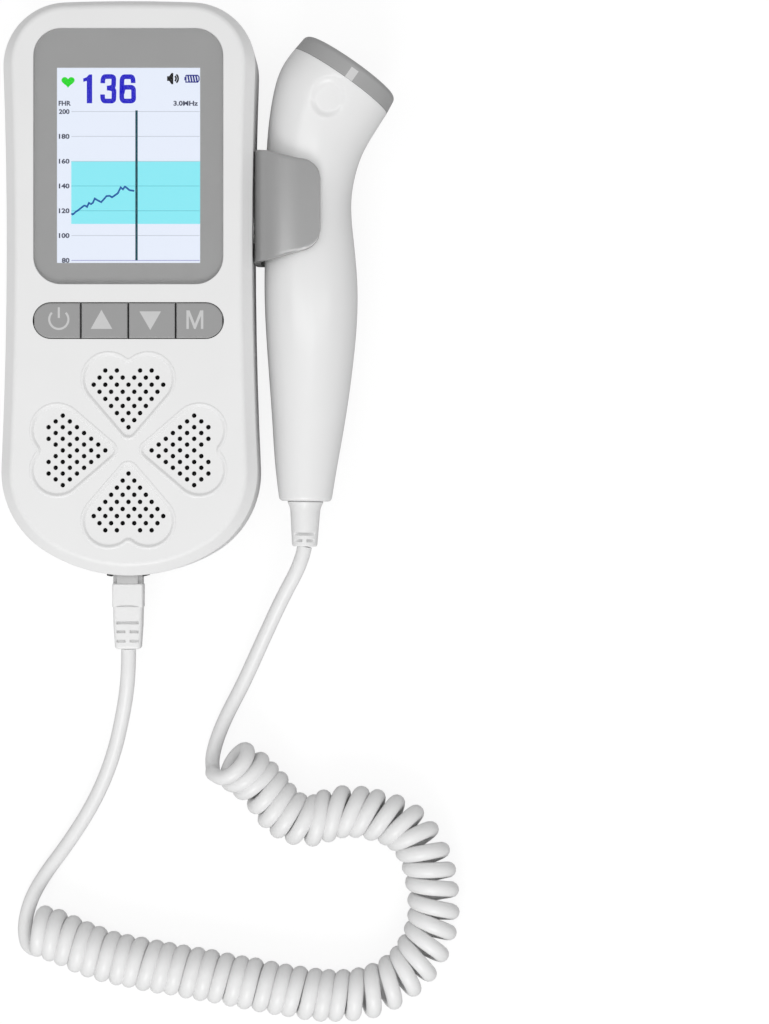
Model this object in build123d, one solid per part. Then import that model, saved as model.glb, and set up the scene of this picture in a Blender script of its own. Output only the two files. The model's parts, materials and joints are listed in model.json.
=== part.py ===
from build123d import *
import os
from math import cos, radians, sin, sqrt, tan

# A fetal doppler monitor: a flat hand unit with a colour screen, four keys and a
# heart-pattern speaker grille, a side clip, a bent ultrasound probe held in that clip,
# and the curly cord that joins the probe to a plug in the unit's lower end.
# The unit lies on its back: +Y runs to its top end, +Z out of its screen, and the
# origin is on the back face. All sizes are millimetres.

# ---- case
case_top = 73.0
case_bottom = -73.3
case_thick = 28.0
wall = 2.0
waist_half = 31.25
waist_y = 11.2
side_radius = 1200.0
dome_radius = 420.0
chin_radius = 40.5
top_corner = 16.2
low_corner = 24.0
back_round = 4.0
band_drop = 3.2
band_side = 2.75
band_top = 1.6
band_bottom = 2.7
face_round = 1.5
shoulder_round = 0.6
cavity_share = 0.8
parting_z = 14.0
parting_gap = 0.5
lip_height = 1.3
lip_thick = 0.8
fit_gap = 0.1
slip_gap = 0.05
small_edge = 0.3
soft_edge = 0.4

# ---- case screws and bosses
boss_radius = 2.8
boss_top = (25.6, 62.2)
boss_low = (23.0, -58.0)
screw_radius = 1.2
screw_head_radius = 2.3
screw_head_height = 1.8
screw_sink = 1.4
screw_length = 15.0
screw_slot = 0.7
screw_cross = 0.6
pilot_radius = 2.4

# ---- display
lens_width = 48.0
lens_height = 64.8
lens_corner = 7.0
lens_thick = 1.0
lens_margin = 7.45
lens_gap = 0.12
film_thick = 0.2
screen_width = 36.35
screen_height = 49.55
screen_shift = -2.26
window_margin = 1.0
panel_width = 42.7
panel_height = 58.6
panel_thick = 2.4
panel_margin = 3.0
frame_wall = 0.9
frame_lap = 1.6

# ---- keys and switches
key_names = ("power", "up", "down", "mode")
key_row = 48.1
key_height = 8.95
key_drop = 4.85
key_split = 0.35
key_gap = 0.2
key_proud = 0.25
key_round = 0.35
key_flange = 0.9
key_lap = 0.9
key_travel = 0.5
stem_radius = 1.5
switch_side = 6.0
switch_height = 3.2
plunger_radius = 1.7
plunger_rise = 1.2
plunger_sunk = 1.4

# ---- main board
board_half = 27.0
board_top = 60.0
board_bottom = -20.0
board_thick = 1.6
board_z = 18.0
board_corner = 6.0
pad_share = 0.96
post_radius = 2.2
post_x = 25.0
post_ys = (48.0, -16.5)
board_screw_radius = 0.9
board_screw_head = 1.7
board_screw_depth = 4.0
board_screw_cap = 1.2
chip_sizes = ((7.0, 7.0), (5.0, 4.0), (9.0, 5.0), (3.5, 3.5))
chip_places = ((8.0, 8.0), (-8.0, -6.0), (6.0, -8.0), (-6.0, 50.0))
chip_height = 1.0
shield_size = (18.0, 14.0, 2.0)
shield_place = (8.0, 30.0)
shield_wall = 0.3

# ---- battery and back label
battery_size = (34.0, 50.0, 6.0)
battery_y = 28.0
fence_wall = 1.2
fence_height = 4.0
fence_gap = 0.3
label_size = (40.0, 24.0)
label_y = -32.0
label_sink = 0.3
label_thick = 0.2
label_corner = 2.0

# ---- loudspeaker and grille
grille_y = -41.46
speaker_radius = 23.0
speaker_height = 6.0
speaker_rim = 1.2
gasket_thick = 1.0
gasket_width = 1.2
cloth_thick = 0.25
cone_radius = 19.6
cone_depth = 3.6
cone_thick = 0.5
dust_radius = 5.0
magnet_radius = 11.0
magnet_height = 4.0
cup_wall = 1.2
cup_height = 5.0
hole_radius = 0.6
hole_pitch = 1.8
hole_step = 1.47
tip_reach = 5.87
heart_rows = ((-4, -2, 2, 4), (-5, -3, -1, 1, 3, 5), (-6, -4, -2, 0, 2, 4, 6), (-5, -3, -1, 1, 3, 5),
              (-4, -2, 0, 2, 4), (-3, -1, 1, 3), (-2, 0, 2), (-1, 1), (0,))
heart_tip = 2.3
heart_half = 11.4
heart_lean = 49.4
heart_shoulder = 18.3
heart_top = 24.4
heart_notch = 22.0
heart_lobe = 5.6
heart_tip_round = 2.0
heart_side_round = 6.5
heart_notch_round = 1.6
heart_depth = 0.45
heart_slope = 0.8

# ---- sockets on the left side
usb_y = 34.0
usb_size = (5.6, 7.6, 2.7)
usb_shell = 0.3
usb_tongue = (3.4, 3.8, 0.7)
usb_gap = 0.35
jack_y = 18.0
jack_size = (11.0, 6.4, 5.0)
jack_hole_radius = 3.0
jack_barrel = 2.45
jack_bore = 1.8
jack_depth = 11.0

# ---- probe plug and its socket
plug_x = -1.2
tongue_width = 5.3
tongue_thick = 4.6
tongue_depth = 6.4
collar_width = 7.5
collar_thick = 4.8
collar_inside = 0.4
ridge_rise = 1.0
plug_standoff = 2.25
plug_width = 7.9
plug_thick = 7.0
plug_length = 6.0
plug_corner = 0.6
arch_rise = 0.5
arch_half = 3.1
relief_length = 10.9
# Each relief section is (distance from the plug, width, thickness).
relief_sections = ((0.0, 7.6, 6.4), (4.6, 7.4, 6.2), (10.9, 6.6, 5.6))
relief_corner = 1.0
relief_round = 0.8
relief_slots = (4.1, 6.4, 8.8)
relief_slot_half = 2.85
slot_width = 0.75
slot_depth = 0.9
slot_bridge = 1.1
mouth_width = 10.6
mouth_height = 9.0
mouth_depth = 0.8
socket_wall = 1.7
socket_setback = 0.8
socket_slack = 0.6
pin_count = 4
pin_pitch = 1.1
pin_radius = 0.25
pin_length = 4.5
sleeve_wall = 0.17
socket_board_size = (18.0, 12.0, 1.6)
socket_board_setback = 2.2
socket_post = 2.0

# ---- clip
clip_low = 5.6
clip_high = 34.9
clip_wall = 1.7
clip_half_gap = 11.2
clip_reach = 17.2
clip_bend = 12.0
clip_stem_inside = 1.2
clip_root_drop = 0.5
clip_lean_high = 2.6
clip_lean_low = 3.5
clip_tip_corner = 4.6
clip_foot_height = 16.0
clip_foot_thick = 10.0
clip_foot_lip = 1.4
clip_foot_plate = 1.2
clip_seat = 0.45

# ---- probe
probe_x = 45.5
probe_z = 15.0
probe_wall = 1.8
# Each station is (y, sideways shift, half width, half thickness, lean in degrees).
probe_stations = ((-54.3, -0.95, 6.7, 6.4, -1.0), (-46.0, -0.75, 7.9, 7.6, 0.0),
                  (-34.6, -0.15, 9.3, 8.9, 0.0), (-19.0, 0.4, 10.95, 10.4, 0.0),
                  (0.0, 0.5, 12.0, 11.1, 0.0), (13.0, 0.1, 11.4, 10.8, 0.0),
                  (23.0, -0.1, 11.0, 10.7, 0.0), (31.0, 0.5, 11.6, 10.9, -3.0),
                  (38.5, 1.75, 12.6, 11.6, -11.4), (46.0, 4.0, 14.0, 12.9, -19.4),
                  (51.35, 6.3, 14.6, 14.0, -28.3), (53.93, 8.12, 14.43, 14.43, -34.5))
foot_round = 0.9
hollow_end_share = 0.9
head_seat = 12.7
head_seat_depth = 3.4
cap_height = 5.4
cap_crown = 0.7
cap_round = 1.6
cap_wall = 1.5
cap_collar = 3.0
cap_taper = 0.6
cap_seam = 0.25
mark_width = 2.1
mark_height = 3.15
mark_shift = 2.6
mark_thick = 0.3
crystal_radius = 9.0
crystal_thick = 1.0
crystal_split = 0.8
backing_thick = 3.0
probe_board_size = (13.0, 44.0, 1.2)
probe_board_y = -8.0
bulkhead = 1.6
bulkhead_places = (-24.0, 8.0)
wire_way = 5.0

# ---- probe boot
boot_tail = 3.3
boot_tail_length = 1.2
boot_start = 4.65
boot_seam = 0.25
boot_shoulder = 3.85
boot_shoulder_at = 2.6
boot_waist = 0.1
boot_end = 3.25
boot_length = 11.7
boot_round = 0.6
boot_slots = (8.5, 10.2)
boot_slot_depth = 1.1

# ---- cord
cord_radius = 1.9
coil_radius = 6.85
cord_inside = 6.0
cord_exit = 6.0
coil_entry = 4.5
bend_share = 0.45
# Centre-line points of the wire and of the curly part, in millimetres.
plug_lead_points = ((-2.6, -109.0, 10.6), (-5.6, -121.0, 6.2), (-10.4, -132.6, 3.1), (-18.2, -143.6, 2.1),
                    (-25.2, -153.2, 2.6), (-28.4, -159.4, 4.4))
coil_points = ((-23.9, -166.8, 6.85), (-10.3, -172.5, 6.85), (3.6, -175.4, 6.85), (17.9, -178.0, 6.85),
               (33.6, -180.9, 6.85), (49.3, -183.5, 6.85), (61.5, -182.5, 6.85), (70.4, -177.8, 6.85),
               (75.9, -170.5, 6.85), (78.0, -162.4, 6.85), (77.5, -153.7, 6.85), (74.6, -145.4, 6.85),
               (70.2, -138.6, 6.85), (62.3, -135.9, 6.85), (53.2, -134.9, 6.85), (44.8, -137.8, 6.85),
               (37.5, -133.9, 6.85), (32.8, -127.4, 6.85), (26.8, -123.9, 6.85))
probe_lead_points = ((39.4, -79.5, 11.4), (34.0, -91.0, 6.6), (28.6, -102.0, 3.2), (23.6, -111.0, 2.2),
                     (20.6, -117.4, 4.0))

# ---- derived places
lens_y = case_top - lens_margin - lens_height / 2
screen_y = lens_y + screen_shift
panel_y = screen_y + screen_height / 2 + panel_margin - panel_height / 2
pocket_z = case_thick - lens_thick - film_thick
inner_z = case_thick - wall
panel_z = inner_z - fit_gap - panel_thick
key_y = lens_y - lens_height / 2 - key_drop - key_height / 2
key_pitch = key_row / len(key_names)
flange_z = inner_z - slip_gap - key_flange
board_face = board_z + board_thick
switch_z = board_face + switch_height
plunger_z = switch_z + plunger_rise
plug_z = parting_z
plug_y = case_bottom - plug_standoff
boss_places = [(side * x, y) for x, y in (boss_top, boss_low) for side in (-1, 1)]
post_places = [(side * post_x, y) for y in post_ys for side in (-1, 1)]
case_half = waist_half + side_radius - sqrt(side_radius ** 2 - (clip_high - waist_y) ** 2)
clip_x = case_half + slip_gap
sink_depth = screw_sink + screw_head_height


def side_half(y):
    return waist_half + side_radius - sqrt(side_radius ** 2 - (y - waist_y) ** 2)


def circles_meet(first, first_radius, second, second_radius, side):
    away = second - first
    along = (first_radius ** 2 - second_radius ** 2 + away.length ** 2) / (2 * away.length)
    across = sqrt(first_radius ** 2 - along ** 2)
    step = away.normalized()
    return first + step * along + Vector(-step.Y, step.X) * across * side


def case_outline(side_inset=0.0, top_inset=None, bottom_inset=None):
    top_inset = side_inset if top_inset is None else top_inset
    bottom_inset = side_inset if bottom_inset is None else bottom_inset
    side_centre = Vector(waist_half + side_radius, waist_y)
    flank = side_radius + side_inset
    dome_centre = Vector(0, case_top - dome_radius)
    chin_centre = Vector(0, case_bottom + chin_radius)
    high = circles_meet(side_centre, flank, dome_centre, dome_radius - top_inset, -1)
    low = circles_meet(side_centre, flank, chin_centre, chin_radius - bottom_inset, 1)
    high_left = Vector(-high.X, high.Y)
    low_left = Vector(-low.X, low.Y)
    flank_x = waist_half - side_inset
    edges = [ThreePointArc(high, (0, case_top - top_inset), high_left),
             ThreePointArc(high_left, (-flank_x, waist_y), low_left),
             ThreePointArc(low_left, (0, case_bottom + bottom_inset), low),
             ThreePointArc(low, (flank_x, waist_y), high)]
    face = make_face(Curve() + edges)
    corners = face.vertices().sort_by(Axis.Y)
    face = fillet(corners[:2], low_corner - side_inset)
    corners = [v for v in face.vertices() if abs(v.Y - high.Y) < fit_gap]
    return fillet(corners, top_corner - (side_inset + top_inset) / 2)


def case_slab(inset, low, high):
    return extrude(Pos(0, 0, low) * case_outline(inset), high - low)


def post(place, radius, low, high):
    return Pos(place[0], place[1], (low + high) / 2) * Cylinder(radius, high - low)


def plate(width, height, low, high, corner=0.0, centre=(0.0, 0.0)):
    shape = RectangleRounded(width, height, corner) if corner else Rectangle(width, height)
    return extrude(Pos(centre[0], centre[1], low) * shape, high - low)


def slot_plate(length, height, low, high, centre_y):
    return extrude(Pos(0, centre_y, low) * SlotOverall(length, height), high - low)


def box_between(x0, x1, y0, y1, z0, z1):
    return Pos((x0 + x1) / 2, (y0 + y1) / 2, (z0 + z1) / 2) * Box(x1 - x0, y1 - y0, z1 - z0)


def rod(start, direction, radius, length):
    return extrude(Plane(origin=start, z_dir=direction) * Circle(radius), length)


# ---- case shells

def heart_outline(grow):
    tip = heart_tip - grow / cos(radians(heart_lean))
    half = heart_half + grow
    corner = (half, tip + half * tan(radians(heart_lean)))
    notch = (0, heart_notch + grow)
    right = [Line((0, tip), corner), Line(corner, (half, heart_shoulder)),
             ThreePointArc((half, heart_shoulder), (heart_lobe, heart_top + grow), notch)]
    left = [mirror(edge, about=Plane.YZ) for edge in right]
    face = make_face(Curve() + right + left)
    rounds = {(0, tip): heart_tip_round + grow, notch: heart_notch_round - grow,
              corner: heart_side_round + grow, (-corner[0], corner[1]): heart_side_round + grow}
    for (x, y), radius in rounds.items():
        face = fillet(face.vertices().sort_by_distance((x, y, 0))[0], radius)
    return face


def heart_recess():
    floor = Pos(0, 0, case_thick - heart_depth) * heart_outline(-heart_slope / 2)
    rim = Pos(0, 0, case_thick + fit_gap) * heart_outline(heart_slope / 2 + fit_gap)
    return loft([floor, rim], ruled=True)


def grille_cut():
    cutters = []
    for row, steps in enumerate(reversed(heart_rows)):
        for step in steps:
            place = Pos(step * hole_step, tip_reach + row * hole_pitch, case_thick)
            cutters.append(place * Cylinder(hole_radius, wall * 3))
    one = [heart_recess()] + cutters
    return [Pos(0, grille_y) * Rot(0, 0, 90 * turn) * piece for turn in range(4) for piece in one]


def side_openings():
    usb_x = -side_half(usb_y)
    usb_low = board_z - usb_size[2]
    usb_hole = box_between(usb_x - wall, usb_x + wall * 2, usb_y - usb_size[1] / 2 - usb_gap,
                           usb_y + usb_size[1] / 2 + usb_gap, usb_low - usb_gap, board_z + usb_gap)
    jack_hole = rod((-side_half(jack_y) - wall, jack_y, board_z - jack_size[2] / 2), (1, 0, 0),
                    jack_hole_radius, wall * 3)
    jack_bay = box_between(-case_half + wall / 2, 0, jack_y - jack_size[1] / 2 - fit_gap,
                           jack_y + jack_size[1] / 2 + fit_gap, board_z - jack_size[2] - fit_gap, board_z)
    foot_high = clip_foot_height / 2 + fit_gap
    foot_thick = clip_foot_thick / 2 + fit_gap
    foot = box_between(clip_x - clip_foot_plate - wall * 2, clip_x + wall, clip_mid() - foot_high,
                       clip_mid() + foot_high, parting_z - foot_thick, parting_z + foot_thick)
    return [usb_hole, jack_hole, jack_bay, foot]


def plug_opening():
    through = box_between(plug_x - tongue_width / 2 - key_gap, plug_x + tongue_width / 2 + key_gap,
                          case_bottom - wall, case_bottom + wall * 2, plug_z - tongue_thick / 2 - key_gap,
                          plug_z + tongue_thick / 2 + key_gap)
    mouth = box_between(plug_x - mouth_width / 2, plug_x + mouth_width / 2, case_bottom - wall,
                        case_bottom + mouth_depth, plug_z - mouth_height / 2, plug_z + mouth_height / 2)
    return [through, mouth]


def front_blank():
    low = parting_z + parting_gap / 2
    shoulder = case_thick - band_drop
    band = loft([Pos(0, 0, shoulder) * case_outline(),
                 Pos(0, 0, case_thick) * case_outline(band_side, band_top, band_bottom)], ruled=True)
    body = case_slab(0, low, shoulder) + band
    body = fillet(body.edges().group_by(Axis.Z)[-1], face_round)
    rim = [edge for edge in body.edges() if abs(edge.center().Z - shoulder) < fit_gap]
    return fillet(rim, shoulder_round)


def front_shell():
    low = parting_z + parting_gap / 2
    shoulder = case_thick - band_drop
    body = front_blank()
    body -= case_slab(wall, low, shoulder - wall / 2)
    body -= case_slab(wall + band_side * cavity_share, low, inner_z)
    for place in boss_places:
        body += post(place, boss_radius, low, inner_z)
    for place in post_places:
        body += post(place, post_radius, board_face, inner_z)
    cup = post((0, grille_y), speaker_radius + fit_gap + cup_wall, inner_z - cup_height, inner_z)
    body += cup - post((0, grille_y), speaker_radius + fit_gap, inner_z - cup_height, inner_z)
    rebate = case_slab(wall - lip_thick - fit_gap, low, low + lip_height)
    body -= rebate - case_slab(wall + fit_gap, low, shoulder)
    for place in boss_places:
        body += post(place, pilot_radius, parting_z, inner_z)
        body -= post(place, screw_radius + slip_gap, parting_z, sink_depth + screw_length + fit_gap)
    for place in post_places:
        body -= post(place, board_screw_radius + slip_gap, board_face, board_face + board_screw_depth)
    body -= plate(lens_width + lens_gap * 2, lens_height + lens_gap * 2, pocket_z, case_thick,
                  lens_corner + lens_gap, (0, lens_y))
    body -= plate(screen_width + window_margin * 2, screen_height + window_margin * 2, inner_z, pocket_z,
                  window_margin, (0, screen_y))
    body -= slot_plate(key_row + key_gap * 2, key_height + key_gap * 2, inner_z, case_thick, key_y)
    body -= side_openings() + plug_opening()
    body -= grille_cut()
    return body


def rear_shell():
    high = parting_z - parting_gap / 2
    body = case_slab(0, 0, high)
    body = fillet(body.edges().group_by(Axis.Z)[0], back_round)
    lip_low = high - wall
    lip = case_slab(wall - lip_thick, lip_low, high + lip_height)
    lip -= case_slab(wall, lip_low, high + lip_height)
    body = body - case_slab(wall, wall, high) + lip
    for place in boss_places:
        body += post(place, boss_radius, wall, parting_z)
        body += post(place, boss_radius + wall / 2, wall, sink_depth + wall)
    width, height = battery_size[0] + fence_gap * 2, battery_size[1] + fence_gap * 2
    fence = plate(width + fence_wall * 2, height + fence_wall * 2, wall, wall + fence_height,
                  0, (0, battery_y))
    body += fence - plate(width, height, wall, wall + fence_height, 0, (0, battery_y))
    for x in socket_post_xs():
        body += post((x, socket_board_y()), socket_post, wall, socket_board_z())
    for place in boss_places:
        body -= post(place, screw_head_radius + fit_gap, 0, sink_depth)
        body -= post(place, screw_radius + slip_gap, 0, parting_z)
    body -= plate(label_size[0] + fit_gap * 2, label_size[1] + fit_gap * 2, 0, label_sink,
                  label_corner, (0, label_y))
    body -= side_openings() + plug_opening()
    return body


def back_label():
    return plate(label_size[0], label_size[1], label_sink - label_thick, label_sink, label_corner,
                 (0, label_y))


def screw(place, low, head_radius, head_height, radius, length):
    head = post(place, head_radius, low, low + head_height)
    arm = head_radius * screw_cross
    cross = box_between(place[0] - arm, place[0] + arm, place[1] - screw_slot / 2,
                        place[1] + screw_slot / 2, low, low + head_height / 2)
    turned = Pos(place[0], place[1]) * Rot(0, 0, 90) * Pos(-place[0], -place[1]) * cross
    return head + post(place, radius, low + head_height, low + head_height + length) - cross - turned


def case_screws():
    return [screw(place, screw_sink, screw_head_radius, screw_head_height, screw_radius, screw_length)
            for place in boss_places]


# ---- display

def window_lens():
    body = plate(lens_width, lens_height, pocket_z + film_thick, case_thick, lens_corner, (0, lens_y))
    return chamfer(body.edges().group_by(Axis.Z)[-1], fit_gap)


def border_film():
    ring = plate(lens_width, lens_height, pocket_z, pocket_z + film_thick, lens_corner, (0, lens_y))
    return ring - plate(screen_width, screen_height, pocket_z, pocket_z + film_thick, 0, (0, screen_y))


def display_panel():
    return plate(panel_width, panel_height, panel_z, panel_z + panel_thick, 0, (0, panel_y))


def display_frame():
    width, height = panel_width + fit_gap * 2, panel_height + fit_gap * 2
    rim = plate(width + frame_wall * 2, height + frame_wall * 2, board_face, panel_z + panel_thick / 2,
                0, (0, panel_y))
    rim -= plate(width, height, panel_z, panel_z + panel_thick, 0, (0, panel_y))
    return rim - plate(width - frame_lap * 2, height - frame_lap * 2, board_face, panel_z, 0, (0, panel_y))


# ---- keys

def key_x(index):
    return (index - (len(key_names) - 1) / 2) * key_pitch


def key(index):
    half = (key_pitch - key_split) / 2
    strip = box_between(key_x(index) - half, key_x(index) + half, key_y - key_height,
                        key_y + key_height, flange_z, case_thick + key_proud)
    cap = slot_plate(key_row, key_height, flange_z, case_thick + key_proud, key_y) & strip
    cap = fillet(cap.edges().group_by(Axis.Z)[-1], key_round)
    foot = plate(key_row, key_height + key_lap * 2, flange_z, flange_z + key_flange, 0, (0, key_y))
    return cap + (foot & strip) + post((key_x(index), key_y), stem_radius, plunger_z, flange_z)


def plunger(index):
    return post((key_x(index), key_y), plunger_radius, switch_z - plunger_sunk, plunger_z)


def tact_switches():
    made = []
    for index in range(len(key_names)):
        body = plate(switch_side, switch_side, board_face, switch_z, 0, (key_x(index), key_y))
        bore_low = switch_z - plunger_sunk - key_travel - fit_gap * 2
        made.append(body - post((key_x(index), key_y), plunger_radius + slip_gap, bore_low, switch_z))
    return made


# ---- boards and what they carry

def main_board():
    middle = (board_top + board_bottom) / 2
    body = plate(board_half * 2, board_top - board_bottom, board_z, board_face, 0, (0, middle))
    body = chamfer(body.edges().filter_by(Axis.Z), board_corner)
    for x, y in post_places:
        body += plate(post_radius * 2, post_radius * 2, board_z, board_face, 0, (x * pad_share, y))
        body -= post((x, y), board_screw_radius + fit_gap, board_z, board_face)
    return body


def board_screws():
    return [screw(place, board_z - board_screw_cap, board_screw_head, board_screw_cap, board_screw_radius,
                  board_thick + board_screw_depth - fit_gap) for place in post_places]


def board_chips():
    return [plate(size[0], size[1], board_z - chip_height, board_z, 0, place)
            for size, place in zip(chip_sizes, chip_places)]


def shield_can():
    width, height, deep = shield_size
    can = plate(width, height, board_z - deep, board_z, 0, shield_place)
    return can - plate(width - shield_wall * 2, height - shield_wall * 2,
                       board_z - deep + shield_wall, board_z, 0, shield_place)


def charge_socket():
    depth, width, high = usb_size
    left = -side_half(usb_y) + fit_gap
    low = board_z - high
    body = box_between(left, left + depth, usb_y - width / 2, usb_y + width / 2, low, board_z)
    half = width / 2 - usb_shell
    body -= box_between(left, left + depth - usb_shell, usb_y - half, usb_y + half,
                        low + usb_shell, board_z - usb_shell)
    middle = low + high / 2
    reach = usb_shell + usb_tongue[0]
    tongue = box_between(left + depth - reach, left + depth, usb_y - usb_tongue[1] / 2,
                         usb_y + usb_tongue[1] / 2, middle, middle + usb_tongue[2])
    return body + tongue


def phone_jack():
    depth, width, high = jack_size
    middle = board_z - high / 2
    mouth = -side_half(jack_y) + fit_gap
    left = -case_half + wall + fit_gap
    body = box_between(left, left + depth, jack_y - width / 2, jack_y + width / 2, board_z - high, board_z)
    body += rod((mouth, jack_y, middle), (1, 0, 0), jack_barrel, left - mouth + fit_gap)
    return body - rod((mouth, jack_y, middle), (1, 0, 0), jack_bore, jack_depth)


def battery_cell():
    body = plate(battery_size[0], battery_size[1], wall, wall + battery_size[2], 0, (0, battery_y))
    return fillet(body.edges().filter_by(Axis.Y), battery_size[2] / 4)


# ---- loudspeaker

def speaker_gasket():
    outer = post((0, grille_y), speaker_radius, inner_z - gasket_thick, inner_z)
    return outer - post((0, grille_y), speaker_radius - gasket_width, inner_z - gasket_thick, inner_z)


def grille_cloth():
    return post((0, grille_y), speaker_radius - gasket_width - fit_gap, inner_z - cloth_thick, inner_z)


def speaker_face():
    return inner_z - gasket_thick


def speaker_basket():
    face = speaker_face()
    low = face - speaker_height
    rim = post((0, grille_y), speaker_radius, face - speaker_rim, face)
    bowl = Cone(magnet_radius, speaker_radius - cup_wall, speaker_height - speaker_rim)
    hollow = Cone(dust_radius, cone_radius + cone_thick, cone_depth)
    body = rim + Pos(0, grille_y, (low + face - speaker_rim) / 2) * bowl
    return body - Pos(0, grille_y, face - cone_depth / 2) * hollow


def speaker_cone():
    face = speaker_face()
    inner_depth = cone_depth - cone_thick
    outer = Cone(dust_radius, cone_radius + cone_thick, cone_depth)
    inner = Cone(dust_radius, cone_radius, inner_depth)
    body = Pos(0, grille_y, face - cone_depth / 2) * outer
    return body - Pos(0, grille_y, face - inner_depth / 2) * inner


def speaker_magnet():
    low = speaker_face() - speaker_height - magnet_height
    body = post((0, grille_y), magnet_radius, low, low + magnet_height)
    return chamfer(body.edges().group_by(Axis.Z)[0], soft_edge)


# ---- probe socket

def socket_board_y():
    return case_bottom + wall + socket_board_setback + socket_board_size[1] / 2


def socket_low():
    return plug_z - tongue_thick / 2 - key_gap - socket_wall


def socket_board_z():
    return socket_low() - socket_board_size[2]


def socket_post_xs():
    reach = socket_board_size[0] / 2 - socket_post
    return (plug_x - reach, plug_x + reach)


def socket_front():
    return case_bottom + wall + socket_setback


def socket_back():
    return socket_front() + tongue_depth + socket_slack + socket_wall


def probe_socket():
    half = tongue_width / 2 + key_gap
    rise = tongue_thick / 2 + key_gap
    front, back = socket_front(), socket_back()
    body = box_between(plug_x - half - socket_wall, plug_x + half + socket_wall, front, back,
                       plug_z - rise - socket_wall, plug_z + rise + socket_wall)
    body -= box_between(plug_x - half, plug_x + half, front, back - socket_wall,
                        plug_z - rise, plug_z + rise)
    for x in pin_xs():
        body -= rod((x, back - socket_wall, plug_z), (0, 1, 0), pin_radius, socket_wall)
    return body


def pin_xs():
    return [plug_x + (index - (pin_count - 1) / 2) * pin_pitch for index in range(pin_count)]


def socket_contacts():
    return [rod((x, socket_back(), plug_z), (0, -1, 0), pin_radius, socket_wall + pin_length - fit_gap)
            for x in pin_xs()]


def socket_board():
    width, height, thick = socket_board_size
    low = socket_board_z()
    return plate(width, height, low, low + thick, 0, (plug_x, socket_board_y()))


# ---- plug

def tongue_tip():
    return socket_front() + tongue_depth


def plug_nose():
    tip = tongue_tip()
    tongue = box_between(plug_x - tongue_width / 2, plug_x + tongue_width / 2, plug_y, tip,
                         plug_z - tongue_thick / 2, plug_z + tongue_thick / 2)
    tongue = chamfer(tongue.edges().group_by(Axis.Y)[-1], small_edge)
    high, half = case_bottom + collar_inside, collar_thick / 2
    collar = box_between(plug_x - collar_width / 2, plug_x + collar_width / 2, plug_y, high,
                         plug_z - half, plug_z + half)
    ridge = box_between(plug_x - tongue_width / 2, plug_x + tongue_width / 2, plug_y, high,
                        plug_z - half - ridge_rise, plug_z + half + ridge_rise)
    body = tongue + collar + ridge
    for x in pin_xs():
        body -= rod((x, tip, plug_z), (0, -1, 0), pin_radius + slip_gap + sleeve_wall, pin_length)
    return body


def plug_contacts():
    tip = tongue_tip()
    made = []
    for x in pin_xs():
        sleeve = rod((x, tip, plug_z), (0, -1, 0), pin_radius + slip_gap + sleeve_wall, pin_length)
        made.append(sleeve - rod((x, tip, plug_z), (0, -1, 0), pin_radius + slip_gap, pin_length))
    return made


def plug_arch(thick):
    back = plug_y - plug_length
    radius = (arch_half ** 2 + arch_rise ** 2) / (2 * arch_rise)
    disc = post((plug_x, back + arch_rise - radius), radius, plug_z - thick / 2, plug_z + thick / 2)
    return disc & box_between(plug_x - plug_width, plug_x + plug_width, back, plug_y, 0, case_thick)


def plug_housing():
    back = plug_y - plug_length
    body = box_between(plug_x - plug_width / 2, plug_x + plug_width / 2, back, plug_y,
                       plug_z - plug_thick / 2, plug_z + plug_thick / 2)
    body = fillet(body.edges().filter_by(Axis.Y), plug_corner)
    body = fillet(body.edges().group_by(Axis.Y)[-1], soft_edge)
    return body - plug_arch(plug_thick)


def slot_pair(origin, direction, at, half_thick, half_across, depth, bridge):
    face = Plane(origin=Vector(*origin) + Vector(*direction) * (at - slot_width / 2),
                 x_dir=(0, 0, 1), z_dir=direction)
    cuts = Rectangle(half_thick * 4, half_across * 2) - Rectangle((half_thick - depth) * 2, half_across * 2)
    if bridge:
        cuts -= Rectangle(half_thick * 4, bridge)
    return extrude(face * cuts, slot_width)


def plug_boot():
    start = plug_y - plug_length
    near = Plane(origin=(plug_x, start, plug_z), x_dir=(1, 0, 0), z_dir=(0, -1, 0))
    sections = [near.offset(at) * RectangleRounded(width, thick, relief_corner)
                for at, width, thick in relief_sections]
    body = loft(sections, ruled=True)
    body = fillet(body.edges().group_by(Axis.Y)[0], relief_round)
    body += plug_arch(relief_sections[0][2] - relief_corner)
    for index, at in enumerate(relief_slots):
        body -= slot_pair((plug_x, start, plug_z), (0, -1, 0), at, relief_sections[1][2] / 2,
                          relief_slot_half, slot_depth, slot_bridge if index else 0)
    return body - rod((plug_x, start - relief_length, plug_z), (0, 1, 0), cord_radius, cord_inside)


def cord_plug_inner():
    start = plug_y - plug_length
    return rod((plug_x, start - relief_length, plug_z), (0, 1, 0), cord_radius, cord_inside)


# ---- clip

def clip_mid():
    return (clip_low + clip_high) / 2


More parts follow.
